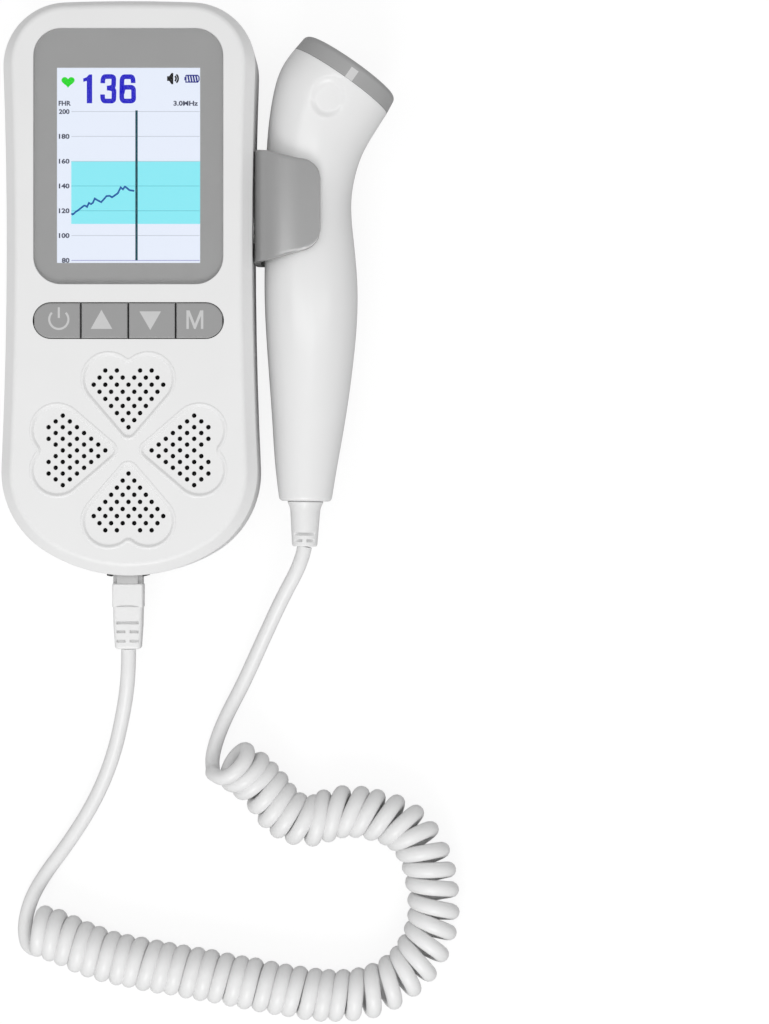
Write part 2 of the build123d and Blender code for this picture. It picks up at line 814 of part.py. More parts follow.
def probe_clip():
    half = clip_half_gap + clip_wall
    inner = clip_x + clip_wall
    reach = clip_x + clip_reach
    outer = Rectangle(clip_reach, half * 2)
    channel = Pos(clip_wall, 0) * Rectangle(clip_reach, clip_half_gap * 2)
    outer = fillet(outer.vertices().group_by(Axis.X)[0], clip_bend)
    channel = fillet(channel.vertices().group_by(Axis.X)[0], clip_bend - clip_wall)
    section = outer - channel
    face = Plane(origin=(clip_x + clip_reach / 2, clip_low, probe_z), x_dir=(1, 0, 0), z_dir=(0, 1, 0))
    body = extrude(face * section, clip_high - clip_low)
    root = inner + clip_bend / 4
    root_low = clip_low + clip_root_drop
    corners = [(clip_x, clip_low), (root, root_low), (reach, root_low + clip_lean_low),
               (reach, clip_high - clip_lean_high), (root, clip_high - clip_root_drop), (clip_x, clip_high)]
    leaf = make_face(Polyline(corners, close=True))
    leaf = fillet(leaf.vertices().group_by(Axis.X)[-1], clip_tip_corner)
    body &= extrude(leaf, case_thick * 2)
    foot_high, foot_thick = clip_foot_height / 2, clip_foot_thick / 2
    stem_x = side_half(clip_mid()) - wall - clip_seat
    stem = box_between(stem_x, clip_x + clip_stem_inside, clip_mid() - foot_high, clip_mid() + foot_high,
                       parting_z - foot_thick, parting_z + foot_thick)
    plate_high = foot_high + clip_foot_lip
    foot = box_between(stem_x - clip_foot_plate, stem_x, clip_mid() - plate_high, clip_mid() + plate_high,
                       parting_z - foot_thick, parting_z + foot_thick)
    return body + stem + foot


# ---- probe

def station_plane(station, shift=0.0):
    y, x_shift, _, _, lean = station
    normal = Vector(-sin(radians(lean)), cos(radians(lean)), 0)
    origin = Vector(probe_x + x_shift, y, probe_z) + normal * shift
    return Plane(origin=origin, x_dir=(cos(radians(lean)), sin(radians(lean)), 0), z_dir=normal)


def probe_body(inset=0.0):
    faces = [station_plane(s) * Ellipse(s[2] - inset, s[3] - inset) for s in probe_stations]
    if not inset:
        body = loft(faces)
        return fillet(body.edges().sort_by(Axis.Y)[0], foot_round)
    foot = probe_stations[0]
    end_inset = inset * hollow_end_share
    faces[0] = station_plane(foot, inset) * Ellipse(foot[2] - end_inset, foot[3] - end_inset)
    return loft(faces)


def head_plane():
    return station_plane(probe_stations[-1])


def along_head(low, high, radius):
    return extrude(head_plane().offset(low) * Circle(radius), high - low)


def boot_direction():
    return station_plane(probe_stations[0]).z_dir * -1


def boot_origin():
    first = probe_stations[0]
    return Vector(probe_x + first[1], first[0], probe_z)


def probe_shell(keep):
    body = probe_body()
    hollow = probe_body(probe_wall)
    walls = body - hollow - along_head(-head_seat_depth, head_seat_depth, head_seat)
    length = probe_board_size[1]
    for at in bulkhead_places:
        rib = hollow & box_between(probe_x - case_thick, probe_x + case_thick, at - bulkhead / 2,
                                   at + bulkhead / 2, 0, case_thick * 2)
        walls += rib - rod((probe_x, at - length, probe_z), (0, 1, 0), wire_way, length * 2)
    width = probe_board_size[0] + fit_gap * 2
    thick = probe_board_size[2]
    walls -= box_between(probe_x - width / 2, probe_x + width / 2, probe_board_y - length / 2 - fit_gap,
                         probe_board_y + length / 2 + fit_gap, probe_z - thick / 2, probe_z + thick / 2)
    neck_start = boot_origin() - boot_direction() * case_thick / 4
    walls -= rod(neck_start, boot_direction(), boot_shoulder, case_thick)
    return split(walls, Plane.XY.offset(probe_z), keep=keep)


def cap_blank(shrink):
    radius = probe_stations[-1][2] - shrink
    height = cap_height - shrink
    crown = (radius ** 2 + cap_crown ** 2) / (2 * cap_crown)
    outer = Pos(0, 0, height / 2) * Cone(radius, radius - cap_taper, height)
    outer = outer & Pos(0, 0, height - crown) * Sphere(crown)
    rings = outer.edges().filter_by(lambda edge: edge.is_closed).sort_by(Axis.Z)
    outer = fillet(rings[-1], cap_round)
    if not shrink:
        outer = chamfer(outer.edges().filter_by(lambda edge: edge.is_closed).sort_by(Axis.Z)[0], cap_seam)
    return outer


def mark_region():
    reach = probe_stations[-1][2]
    block = Pos(mark_shift, -reach, mark_height / 2) * Box(mark_width, reach, mark_height)
    return block - cap_blank(mark_thick)


def cap_mark():
    return head_plane() * (cap_blank(0) & mark_region())


def probe_cap():
    collar = along_head(-cap_collar, 0, head_seat - slip_gap)
    inner = along_head(-cap_collar, cap_height - cap_wall - cap_crown, head_seat - slip_gap - cap_wall)
    return head_plane() * (cap_blank(0) - mark_region()) + collar - inner


def crystal_face():
    return cap_height - cap_wall - cap_crown


def transducer_discs():
    disc = along_head(crystal_face() - crystal_thick, crystal_face(), crystal_radius)
    low = head_plane().offset(crystal_face() - crystal_thick * 2)
    cut = extrude(low * Rectangle(crystal_split, case_thick * 2), crystal_thick * 4)
    return list((disc - cut).solids())


def transducer_backing():
    high = crystal_face() - crystal_thick
    return along_head(high - backing_thick, high, head_seat - slip_gap - cap_wall - fit_gap)


def probe_board():
    width, length, thick = probe_board_size
    return plate(width, length, probe_z - thick / 2, probe_z + thick / 2, 0, (probe_x, probe_board_y))


def probe_boot():
    origin, direction = boot_origin(), boot_direction()
    flare = ThreePointArc((boot_start, boot_seam),
                          ((boot_start + boot_shoulder) / 2 - boot_waist, boot_shoulder_at / 2),
                          (boot_shoulder, boot_shoulder_at))
    sides = Polyline([(boot_shoulder, boot_shoulder_at), (boot_end, boot_length), (0, boot_length),
                      (0, 0), (boot_start - boot_seam, 0), (boot_start, boot_seam)])
    outline = make_face(Curve() + [flare, sides])
    outline = fillet(outline.vertices().sort_by_distance((boot_end, boot_length, 0))[0], boot_round)
    body = revolve(outline, Axis.Y)
    body = Plane(origin=origin, x_dir=(0, 0, 1), z_dir=direction) * Rot(90, 0, 0) * body
    neck = probe_wall + fit_gap * 2
    body += rod(origin - direction * neck, direction, boot_shoulder - slip_gap, neck)
    body += rod(origin - direction * (neck + boot_tail_length), direction, boot_tail, boot_tail_length)
    for index, at in enumerate(boot_slots):
        body -= slot_pair(tuple(origin), tuple(direction), at, boot_end, boot_shoulder,
                          boot_slot_depth, slot_bridge if index else 0)
    tail = boot_length + cord_inside
    return body - rod(origin + direction * boot_length, direction * -1, cord_radius, tail)


def cord_probe_inner():
    end = boot_origin() + boot_direction() * boot_length
    return rod(end, boot_direction() * -1, cord_radius, boot_length + cord_inside)


# ---- cord

def exit_points(start, direction):
    return [Vector(*start), Vector(*start) + Vector(*direction).normalized() * cord_exit]


def entry_points(end, beyond):
    inward = (Vector(*beyond) - Vector(*end)).normalized()
    return [Vector(*end) - inward * coil_entry, Vector(*end)]


def cord_tube(name, points, radius):
    places = [Vector(*p) for p in points]
    runs = [(b - a).length for a, b in zip(places, places[1:])]
    turns = [(b - a).get_angle(c - b) for a, b, c in zip(places, places[1:], places[2:])]
    radii = [bend_share * min(before, after) / tan(radians(turn / 2))
             for before, after, turn in zip(runs, runs[1:], turns)]
    path = FilletPolyline(*places, radius=radii)
    start = Plane(origin=path @ 0, z_dir=path % 0)
    tube = sweep(start * Circle(radius), path=Wire(path.edges()))
    share = tube.volume / ((Circle(radius)).area * path.length)
    print(name, "length", round(path.length, 1), "volume share", round(share, 4))
    print("  radii", [round(r, 1) for r in radii])
    print("  points", [tuple(round(c, 2) for c in p) for p in places])
    return tube


def plug_lead():
    start = (plug_x, plug_y - plug_length - relief_length, plug_z)
    points = exit_points(start, (0, -1, 0)) + list(plug_lead_points)
    return cord_tube("plug lead", points + entry_points(coil_points[0], coil_points[1]), cord_radius)


def probe_lead():
    start = boot_origin() + boot_direction() * boot_length
    points = exit_points(start, boot_direction()) + list(probe_lead_points)
    return cord_tube("probe lead", points + entry_points(coil_points[-1], coil_points[-2]), cord_radius)


def write(name, made):
    pieces = made if isinstance(made, list) else [made]
    solids = [solid for piece in pieces for solid in piece.solids()]
    part = solids[0] if len(solids) == 1 else Compound(children=solids)
    part.label = name
    export_step(part, f"parts/{name}.step")
    print(name, len(solids))


def main():
    os.makedirs("parts", exist_ok=True)
    write("front_shell", front_shell())
    write("rear_shell", rear_shell())
    write("back_label", back_label())
    write("case_screws", case_screws())
    write("window_lens", window_lens())
    write("border_film", border_film())
    write("display_panel", display_panel())
    write("display_frame", display_frame())
    for index, name in enumerate(key_names):
        write(f"key_{name}", key(index))
        write(f"plunger_{name}", plunger(index))
    write("tact_switches", tact_switches())
    write("main_board", main_board())
    write("board_screws", board_screws())
    write("board_chips", board_chips())
    write("shield_can", shield_can())
    write("charge_socket", charge_socket())
    write("phone_jack", phone_jack())
    write("battery_cell", battery_cell())
    write("speaker_gasket", speaker_gasket())
    write("grille_cloth", grille_cloth())
    write("speaker_basket", speaker_basket())
    write("speaker_cone", speaker_cone())
    write("speaker_magnet", speaker_magnet())
    write("socket_board", socket_board())
    write("probe_socket", probe_socket())
    write("socket_contacts", socket_contacts())
    write("plug_nose", plug_nose())
    write("plug_contacts", plug_contacts())
    write("plug_housing", plug_housing())
    write("plug_boot", plug_boot())
    write("cord_plug_inner", cord_plug_inner())
    write("probe_clip", probe_clip())
    write("probe_front_shell", probe_shell(Keep.TOP))
    write("probe_rear_shell", probe_shell(Keep.BOTTOM))
    write("probe_cap", probe_cap())
    write("cap_mark", cap_mark())
    write("transducer_discs", transducer_discs())
    write("transducer_backing", transducer_backing())
    write("probe_board", probe_board())
    write("probe_boot", probe_boot())
    write("cord_probe_inner", cord_probe_inner())
    write("cord_plug_lead", plug_lead())
    write("cord_coil", cord_tube("coil", coil_points, coil_radius))
    write("cord_probe_lead", probe_lead())


main()
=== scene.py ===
import json
import math

import bmesh
import bpy
import numpy as np
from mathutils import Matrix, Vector


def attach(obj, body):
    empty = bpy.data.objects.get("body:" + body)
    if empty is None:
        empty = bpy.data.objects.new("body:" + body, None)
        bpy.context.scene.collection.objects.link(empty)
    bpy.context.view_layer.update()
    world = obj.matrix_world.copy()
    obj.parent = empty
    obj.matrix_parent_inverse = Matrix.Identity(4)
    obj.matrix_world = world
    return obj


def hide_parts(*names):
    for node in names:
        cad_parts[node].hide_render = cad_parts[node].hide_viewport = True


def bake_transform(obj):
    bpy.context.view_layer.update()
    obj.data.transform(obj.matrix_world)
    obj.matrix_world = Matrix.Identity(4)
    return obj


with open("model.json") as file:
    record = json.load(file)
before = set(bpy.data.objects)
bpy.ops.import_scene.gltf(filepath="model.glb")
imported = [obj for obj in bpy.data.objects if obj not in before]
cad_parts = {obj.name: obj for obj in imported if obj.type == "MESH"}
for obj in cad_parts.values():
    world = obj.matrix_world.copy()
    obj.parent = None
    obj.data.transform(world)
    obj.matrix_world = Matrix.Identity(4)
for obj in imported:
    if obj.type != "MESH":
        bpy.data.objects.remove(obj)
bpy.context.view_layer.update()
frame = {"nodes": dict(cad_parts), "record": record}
nodes = frame["nodes"]
mm = 0.001    # the pieces' sizes are given in millimetres

# the stage: daylight, lamps, floor and camera
stage = {
    "cameraPlace": (64.96, -57.1, 728.0),    # in millimetres, as are lens, sensor and floor drop
    "lensLength": 97.08,
    "sensorWidth": 36.0,
    "nearClip": 0.01,
    "floorSize": 12.0,
    "floorDrop": 0.05,
    "floorTone": 0.5,        # what the light meets
    "floorSeenTone": 0.165,  # what the camera meets
    "floorGlow": 0.86,       # added for the camera alone
    "dayLevel": 0.63,
    "lampAim": (0.02, -0.05, 0.0),
    "keySize": 0.5,
    "keyPlace": (-0.05, -0.95, 0.8),
    "keyPower": 4.9,
    "stripSize": (0.12, 1.1),
    "stripPlaces": ((-0.347, 0.0, 1.2), (0.505, 0.0, 1.2)),
    "stripPowers": (1.8, 1.3),
}


def addNode(tree, kind, feeds=None, **settings):
    made = tree.nodes.new(kind)
    for key, value in settings.items():
        setattr(made, key, value)
    for key, value in (feeds or {}).items():
        if isinstance(value, bpy.types.NodeSocket):
            tree.links.new(value, made.inputs[key])
        else:
            made.inputs[key].default_value = value
    return made


def mathNode(tree, operation, *values, clamp=False):
    feeds = dict(enumerate(values))
    return addNode(tree, "ShaderNodeMath", feeds, operation=operation, use_clamp=clamp).outputs[0]


def mixed(tree, share, first, second):
    # sockets 6 and 7 take the two colours, and output 2 gives their mix
    return addNode(tree, "ShaderNodeMix", {0: share, 6: first, 7: second}, data_type="RGBA").outputs[2]


def seenRays(tree):
    # 1 for the camera's own rays, also through glass
    paths = addNode(tree, "ShaderNodeLightPath")
    return mathNode(tree, "MAXIMUM", paths.outputs["Is Camera Ray"], paths.outputs["Is Transmission Ray"])


def setView():
    scene = bpy.context.scene
    scene.view_settings.view_transform = "Standard"
    world = bpy.data.worlds.new("studio")
    world.use_nodes = True
    scene.world = world
    tree = world.node_tree
    tree.nodes.clear()
    level = mathNode(tree, "MULTIPLY_ADD", seenRays(tree), 1.0 - stage["dayLevel"], stage["dayLevel"])
    sky = addNode(tree, "ShaderNodeBackground", {"Color": (1, 1, 1, 1), "Strength": level})
    addNode(tree, "ShaderNodeOutputWorld", {"Surface": sky.outputs[0]})


def addLamp(name, place, size, power):
    light = bpy.data.lights.new(name, "AREA")
    light.shape = "RECTANGLE"
    light.size, light.size_y = size
    light.energy = power
    lamp = bpy.data.objects.new(name, light)
    bpy.context.scene.collection.objects.link(lamp)
    lamp.location = place
    aim = Vector(stage["lampAim"]) - Vector(place)
    lamp.rotation_euler = aim.to_track_quat("-Z", "Y").to_euler()


def addFloor():
    half = stage["floorSize"] / 2
    mesh = bpy.data.meshes.new("floor")
    corners = [(-half, -half, 0), (half, -half, 0), (half, half, 0), (-half, half, 0)]
    mesh.from_pydata(corners, [], [(0, 1, 2, 3)])
    floor = bpy.data.objects.new("floor", mesh)
    bpy.context.scene.collection.objects.link(floor)
    floor.location.z = -stage["floorDrop"] * mm
    material = bpy.data.materials.new("floorPaper")
    material.use_nodes = True
    tree = material.node_tree
    tree.nodes.clear()
    seen = seenRays(tree)
    lit, met = (stage["floorTone"],) * 3 + (1,), (stage["floorSeenTone"],) * 3 + (1,)
    paper = addNode(tree, "ShaderNodeBsdfDiffuse", {"Color": mixed(tree, seen, lit, met)})
    glow = addNode(tree, "ShaderNodeEmission", {"Color": (1, 1, 1, 1)})
    tree.links.new(mathNode(tree, "MULTIPLY", seen, stage["floorGlow"]), glow.inputs["Strength"])
    both = addNode(tree, "ShaderNodeAddShader", {0: paper.outputs[0], 1: glow.outputs[0]})
    addNode(tree, "ShaderNodeOutputMaterial", {"Surface": both.outputs[0]})
    mesh.materials.append(material)


def addCamera():
    data = bpy.data.cameras.new("camera")
    data.lens = stage["lensLength"]
    data.sensor_width = stage["sensorWidth"]
    data.clip_start = stage["nearClip"]
    camera = bpy.data.objects.new("camera", data)
    bpy.context.scene.collection.objects.link(camera)
    camera.location = Vector(stage["cameraPlace"]) * mm
    bpy.context.scene.camera = camera


setView()
addLamp("keyLamp", stage["keyPlace"], (stage["keySize"],) * 2, stage["keyPower"])
for index, (place, power) in enumerate(zip(stage["stripPlaces"], stage["stripPowers"])):
    addLamp(f"stripLamp{index + 1}", place, stage["stripSize"], power)
addFloor()
addCamera()
print("stage ready")

# surface effects that several finishes share
effects = {
    "grainDetail": 3.0,
    "driftDetail": 2.0,
    "patchDetail": 4.0,
    "patchTwist": 0.6,
    "edgeSamples": 4,
    "edgeGain": 4.0,
    "brokenScale": 350.0,
    "brokenDetail": 3.0,
}


def newGroup(name, inputs, outputs):
    group = bpy.data.node_groups.new(name, "ShaderNodeTree")
    for label, start in inputs:
        socket = group.interface.new_socket(label, in_out="INPUT", socket_type="NodeSocketFloat")
        socket.default_value = start
    for label in outputs:
        group.interface.new_socket(label, in_out="OUTPUT", socket_type="NodeSocketFloat")
    return group, group.nodes.new("NodeGroupInput"), group.nodes.new("NodeGroupOutput")


def addNoise(tree, place, scale, detail, twist=0.0):
    feeds = {"Vector": place, "Scale": scale, "Detail": detail, "Distortion": twist}
    return addNode(tree, "ShaderNodeTexNoise", feeds).outputs["Fac"]


def makeMouldedSkin():
    # fine moulding grain, slow tone drift and a patchy gloss, sized in millimetres
    inputs = [("Grain Size", 0.3), ("Drift Size", 14.0), ("Rough", 0.4), ("Rough Spread", 0.05)]
    group, given, result = newGroup("mouldedSkin", inputs, ["Shade", "Roughness", "Height"])
    place = addNode(group, "ShaderNodeTexCoord").outputs["Object"]
    grainScale = mathNode(group, "DIVIDE", 1.0 / mm, given.outputs["Grain Size"])
    driftScale = mathNode(group, "DIVIDE", 1.0 / mm, given.outputs["Drift Size"])
    grain = addNoise(group, place, grainScale, effects["grainDetail"])
    drift = addNoise(group, place, driftScale, effects["driftDetail"])
    patch = addNoise(group, place, driftScale, effects["patchDetail"], effects["patchTwist"])
    centred = mathNode(group, "SUBTRACT", patch, 0.5)
    swing = mathNode(group, "MULTIPLY", centred, given.outputs["Rough Spread"])
    rough = mathNode(group, "MULTIPLY_ADD", swing, 2.0, given.outputs["Rough"])
    for label, value in (("Shade", drift), ("Roughness", rough), ("Height", grain)):
        group.links.new(value, result.inputs[label])
    return group


def makeEdgeWearAndSheen():
    # paler edges, broken up by noise: partly wear, partly a painted edge highlight
    group, given, result = newGroup("edgeWearAndSheen", [("Width", 0.4), ("Amount", 0.2)], ["Mask"])
    reach = mathNode(group, "MULTIPLY", given.outputs["Width"], mm)
    rounded = addNode(group, "ShaderNodeBevel", {"Radius": reach}, samples=effects["edgeSamples"])
    facing = addNode(group, "ShaderNodeNewGeometry")
    normals = {0: rounded.outputs["Normal"], 1: facing.outputs["Normal"]}
    match = addNode(group, "ShaderNodeVectorMath", normals, operation="DOT_PRODUCT").outputs["Value"]
    edge = mathNode(group, "SUBTRACT", 1.0, match, clamp=True)
    edge = mathNode(group, "MULTIPLY", edge, effects["edgeGain"], clamp=True)
    place = addNode(group, "ShaderNodeTexCoord").outputs["Object"]
    broken = addNoise(group, place, effects["brokenScale"], effects["brokenDetail"])
    mask = mathNode(group, "MULTIPLY", edge, broken)
    mask = mathNode(group, "MULTIPLY", mask, given.outputs["Amount"])
    group.links.new(mask, result.inputs["Mask"])
    return group


skinGroup = makeMouldedSkin()
wearAndSheenGroup = makeEdgeWearAndSheen()


def tone(red, green=None, blue=None):
    # a colour given as 0 to 255 steps on screen, turned to linear light
    steps = (red, red if green is None else green, red if blue is None else blue)
    shares = [step / 255 for step in steps]
    return (*[s / 12.92 if s <= 0.04045 else ((s + 0.055) / 1.055) ** 2.4 for s in shares], 1.0)


def addSkin(tree, look):
    feeds = {"Grain Size": look["grain"], "Drift Size": look["drift"], "Rough": look["rough"],
             "Rough Spread": look["roughSpread"]}
    return addNode(tree, "ShaderNodeGroup", feeds, node_tree=skinGroup)


def plastic(name, look):
    material = bpy.data.materials.new(name)
    material.use_nodes = True
    tree = material.node_tree
    shader = tree.nodes["Principled BSDF"]
    skin = addSkin(tree, look)
    wearAndSheen = addNode(tree, "ShaderNodeGroup", {"Width": look["wearAndSheenWidth"], "Amount": look["wearAndSheen"]},
                   node_tree=wearAndSheenGroup)
    body = mixed(tree, skin.outputs["Shade"], tone(*look["dark"]), tone(*look["light"]))
    # the paler edge colour is partly wear, partly a painted edge highlight
    coloured = mixed(tree, wearAndSheen.outputs["Mask"], body, tone(*look["wornAndSheenTone"]))
    bump = addNode(tree, "ShaderNodeBump", {"Height": skin.outputs["Height"], "Strength": look["bump"],
                                            "Distance": look["grain"] * mm})
    tree.links.new(coloured, shader.inputs["Base Color"])
    tree.links.new(skin.outputs["Roughness"], shader.inputs["Roughness"])
    tree.links.new(bump.outputs[0], shader.inputs["Normal"])
    shader.inputs["Metallic"].default_value = look.get("metal", 0.0)
    shader.inputs["Coat Weight"].default_value = look.get("coat", 0.0)
    shader.inputs["Coat Roughness"].default_value = look.get("coatRough", 0.15)
    shader.inputs["Coat IOR"].default_value = look.get("coatBend", 1.5)
    return material


finishes = {
    "case_white": {"dark": (228,), "light": (233,), "wornAndSheenTone": (240,), "grain": 0.22, "drift": 16.0,
                   "rough": 0.42, "roughSpread": 0.06, "bump": 0.08, "wearAndSheenWidth": 0.3, "wearAndSheen": 0.25},
    "clip_grey": {"dark": (134,), "light": (140,), "wornAndSheenTone": (164,), "grain": 0.2, "drift": 9.0,
                  "rough": 0.4, "roughSpread": 0.05, "bump": 0.05, "wearAndSheenWidth": 0.3, "wearAndSheen": 0.4,
                  "coat": 1.0, "coatRough": 0.18, "coatBend": 2.1},
    "probe_white": {"dark": (228,), "light": (233,), "wornAndSheenTone": (240,), "grain": 0.22, "drift": 16.0,
                    "rough": 0.42, "roughSpread": 0.06, "bump": 0.06, "wearAndSheenWidth": 0.3, "wearAndSheen": 0.25,
                    "coat": 0.6, "coatRough": 0.2},
    "key_grey": {"dark": (146,), "light": (152,), "wornAndSheenTone": (176,), "grain": 0.16, "drift": 6.0,
                 "rough": 0.4, "roughSpread": 0.06, "bump": 0.08, "wearAndSheenWidth": 0.35, "wearAndSheen": 0.7},
    "print_grey": {"dark": (154,), "light": (159,), "wornAndSheenTone": (159,), "grain": 0.25, "drift": 12.0,
                   "rough": 0.5, "roughSpread": 0.05, "bump": 0.02, "wearAndSheenWidth": 0.1, "wearAndSheen": 0.0},
    "display": {"dark": (30, 32, 36), "light": (38, 40, 44), "wornAndSheenTone": (60,), "grain": 0.3, "drift": 12.0,
                "rough": 0.3, "roughSpread": 0.05, "bump": 0.02, "wearAndSheenWidth": 0.2, "wearAndSheen": 0.2},
    "metal": {"dark": (176, 176, 180), "light": (200, 200, 204), "wornAndSheenTone": (225,), "grain": 0.12,
              "drift": 1.5, "rough": 0.3, "roughSpread": 0.12, "bump": 0.12, "wearAndSheenWidth": 0.15,
              "wearAndSheen": 0.5, "metal": 1.0},
    "board_green": {"dark": (14, 84, 42), "light": (22, 104, 54), "wornAndSheenTone": (150, 130, 70), "grain": 0.15,
                    "drift": 4.0, "rough": 0.35, "roughSpread": 0.08, "bump": 0.1, "wearAndSheenWidth": 0.2,
                    "wearAndSheen": 0.3},
    "chip_black": {"dark": (28,), "light": (38,), "wornAndSheenTone": (70,), "grain": 0.08, "drift": 2.0,
                   "rough": 0.55, "roughSpread": 0.08, "bump": 0.2, "wearAndSheenWidth": 0.1, "wearAndSheen": 0.2},
    "black_plastic": {"dark": (30,), "light": (40,), "wornAndSheenTone": (80,), "grain": 0.12, "drift": 4.0,
                      "rough": 0.5, "roughSpread": 0.08, "bump": 0.15, "wearAndSheenWidth": 0.15, "wearAndSheen": 0.3},
    "battery_foil": {"dark": (180, 182, 188), "light": (206, 208, 212), "wornAndSheenTone": (230,), "grain": 0.6,
                     "drift": 7.0, "rough": 0.34, "roughSpread": 0.14, "bump": 0.25, "wearAndSheenWidth": 0.3,
                     "wearAndSheen": 0.4, "metal": 1.0},
    "foam": {"dark": (22,), "light": (34,), "wornAndSheenTone": (50,), "grain": 0.4, "drift": 3.0, "rough": 0.95,
             "roughSpread": 0.03, "bump": 0.7, "wearAndSheenWidth": 0.2, "wearAndSheen": 0.2},
    "cloth": {"dark": (8,), "light": (20,), "wornAndSheenTone": (24,), "grain": 0.18, "drift": 2.0, "rough": 0.95,
              "roughSpread": 0.03, "bump": 0.5, "wearAndSheenWidth": 0.1, "wearAndSheen": 0.0},
    "contact": {"dark": (200, 164, 92), "light": (226, 192, 118), "wornAndSheenTone": (240, 220, 170),
                "grain": 0.08, "drift": 1.0, "rough": 0.25, "roughSpread": 0.08, "bump": 0.06,
                "wearAndSheenWidth": 0.1, "wearAndSheen": 0.3, "metal": 1.0},
    "nose_grey": {"dark": (189,), "light": (195,), "wornAndSheenTone": (212,), "grain": 0.2, "drift": 4.0,
                  "rough": 0.42, "roughSpread": 0.06, "bump": 0.08, "wearAndSheenWidth": 0.2, "wearAndSheen": 0.2},
    "cord_white": {"dark": (226,), "light": (233,), "wornAndSheenTone": (236,), "grain": 0.25, "drift": 6.0,
                   "rough": 0.36, "roughSpread": 0.06, "bump": 0.1, "wearAndSheenWidth": 0.2, "wearAndSheen": 0.1},
    "cap_grey": {"dark": (159,), "light": (165,), "wornAndSheenTone": (176,), "grain": 0.2, "drift": 8.0,
                 "rough": 0.46, "roughSpread": 0.06, "bump": 0.1, "wearAndSheenWidth": 0.3, "wearAndSheen": 0.3},
    "mark_grey": {"dark": (204,), "light": (210,), "wornAndSheenTone": (216,), "grain": 0.2, "drift": 4.0,
                  "rough": 0.45, "roughSpread": 0.06, "bump": 0.08, "wearAndSheenWidth": 0.2, "wearAndSheen": 0.2},
    "label": {"dark": (206, 207, 209), "light": (214, 215, 217), "wornAndSheenTone": (224,), "grain": 0.35,
              "drift": 9.0, "rough": 0.38, "roughSpread": 0.08, "bump": 0.1, "wearAndSheenWidth": 0.3,
              "wearAndSheen": 0.2},
    "crystal": {"dark": (196, 192, 178), "light": (218, 214, 200), "wornAndSheenTone": (232,), "grain": 0.2,
                "drift": 3.0, "rough": 0.4, "roughSpread": 0.1, "bump": 0.15, "wearAndSheenWidth": 0.2,
                "wearAndSheen": 0.3, "metal": 0.6},
}

window = {
    "grain": 6.0,
    "drift": 9.0,
    "rough": 0.0,
    "roughSpread": 0.004,
    "bend": 1.22,
}


def clearWindow():
    material = bpy.data.materials.new("lens_clear")
    material.use_nodes = True
    tree = material.node_tree
    shader = tree.nodes["Principled BSDF"]
    output = tree.nodes["Material Output"]
    tree.links.new(addSkin(tree, window).outputs["Roughness"], shader.inputs["Roughness"])
    shader.inputs["Base Color"].default_value = (1, 1, 1, 1)
    shader.inputs["Transmission Weight"].default_value = 1.0
    shader.inputs["IOR"].default_value = window["bend"]
    # light and bounced daylight pass straight through
    paths = addNode(tree, "ShaderNodeLightPath")
    passing = mathNode(tree, "MAXIMUM", paths.outputs["Is Shadow Ray"], paths.outputs["Is Diffuse Ray"])
    through = addNode(tree, "ShaderNodeBsdfTransparent", {"Color": (1, 1, 1, 1)})
    pane = addNode(tree, "ShaderNodeMixShader", {0: passing, 1: shader.outputs[0], 2: through.outputs[0]})
    tree.links.new(pane.outputs[0], output.inputs["Surface"])
    return material


materials = {slot: plastic(slot, look) for slot, look in finishes.items()}
materials["lens_clear"] = clearWindow()


def dressFrame():
    for part in frame["record"]["subparts"]:
        mesh = nodes[part["node"]].data
        mesh.materials.clear()
        finish = "nose_grey" if part["node"] == "plug_nose" else part["material_slot"]
        mesh.materials.append(materials[finish])


dressFrame()
print("finishes ready:", len(materials))


def newPiece(name, mesh, slot, body=None):
    piece = bpy.data.objects.new(name, mesh)
    bpy.context.scene.collection.objects.link(piece)
    if not mesh.materials:
        mesh.materials.append(materials[slot])
    if body:
        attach(piece, body)
    return piece


def meshFrom(name, build):
    mesh = bpy.data.meshes.new(name)
    build.to_mesh(mesh)
    build.free()
    return mesh


def smoothMesh(mesh, angle):
    for face in mesh.polygons:
        face.use_smooth = True
    mesh.set_sharp_from_angle(angle=math.radians(angle))


def addBlock(build, xs, spans, zs):
    # a block with its reach along y given at its first and at its last x
    for v in bmesh.ops.create_cube(build, size=1.0)["verts"]:
        last = v.co.x > 0
        v.co = Vector((xs[last], spans[last][v.co.y > 0], zs[v.co.z > 0])) * mm


def addWall(piece, thick):
    # gives a skin its thickness, towards the inside
    wall = piece.modifiers.new("wall", "SOLIDIFY")
    wall.thickness = thick * mm
    wall.offset = -1.0


def addRound(piece, width, segments, angle):
    # rounds the edges that are sharper than the angle
    edge = piece.modifiers.new("round", "BEVEL")
    edge.width = width * mm
    edge.segments = segments
    edge.limit_method = "ANGLE"
    edge.angle_limit = math.radians(angle)


def keepModifiers(piece):
    # the mesh as its modifiers leave it
    bpy.context.view_layer.update()
    seen = piece.evaluated_get(bpy.context.evaluated_depsgraph_get())
    made = bpy.data.meshes.new_from_object(seen)
    piece.modifiers.clear()
    piece.data = made


def turned(way, angle):
    # clockwise, as angle_signed gives its angles
    return Vector((way.x * math.cos(angle) + way.y * math.sin(angle),
                   way.y * math.cos(angle) - way.x * math.sin(angle)))


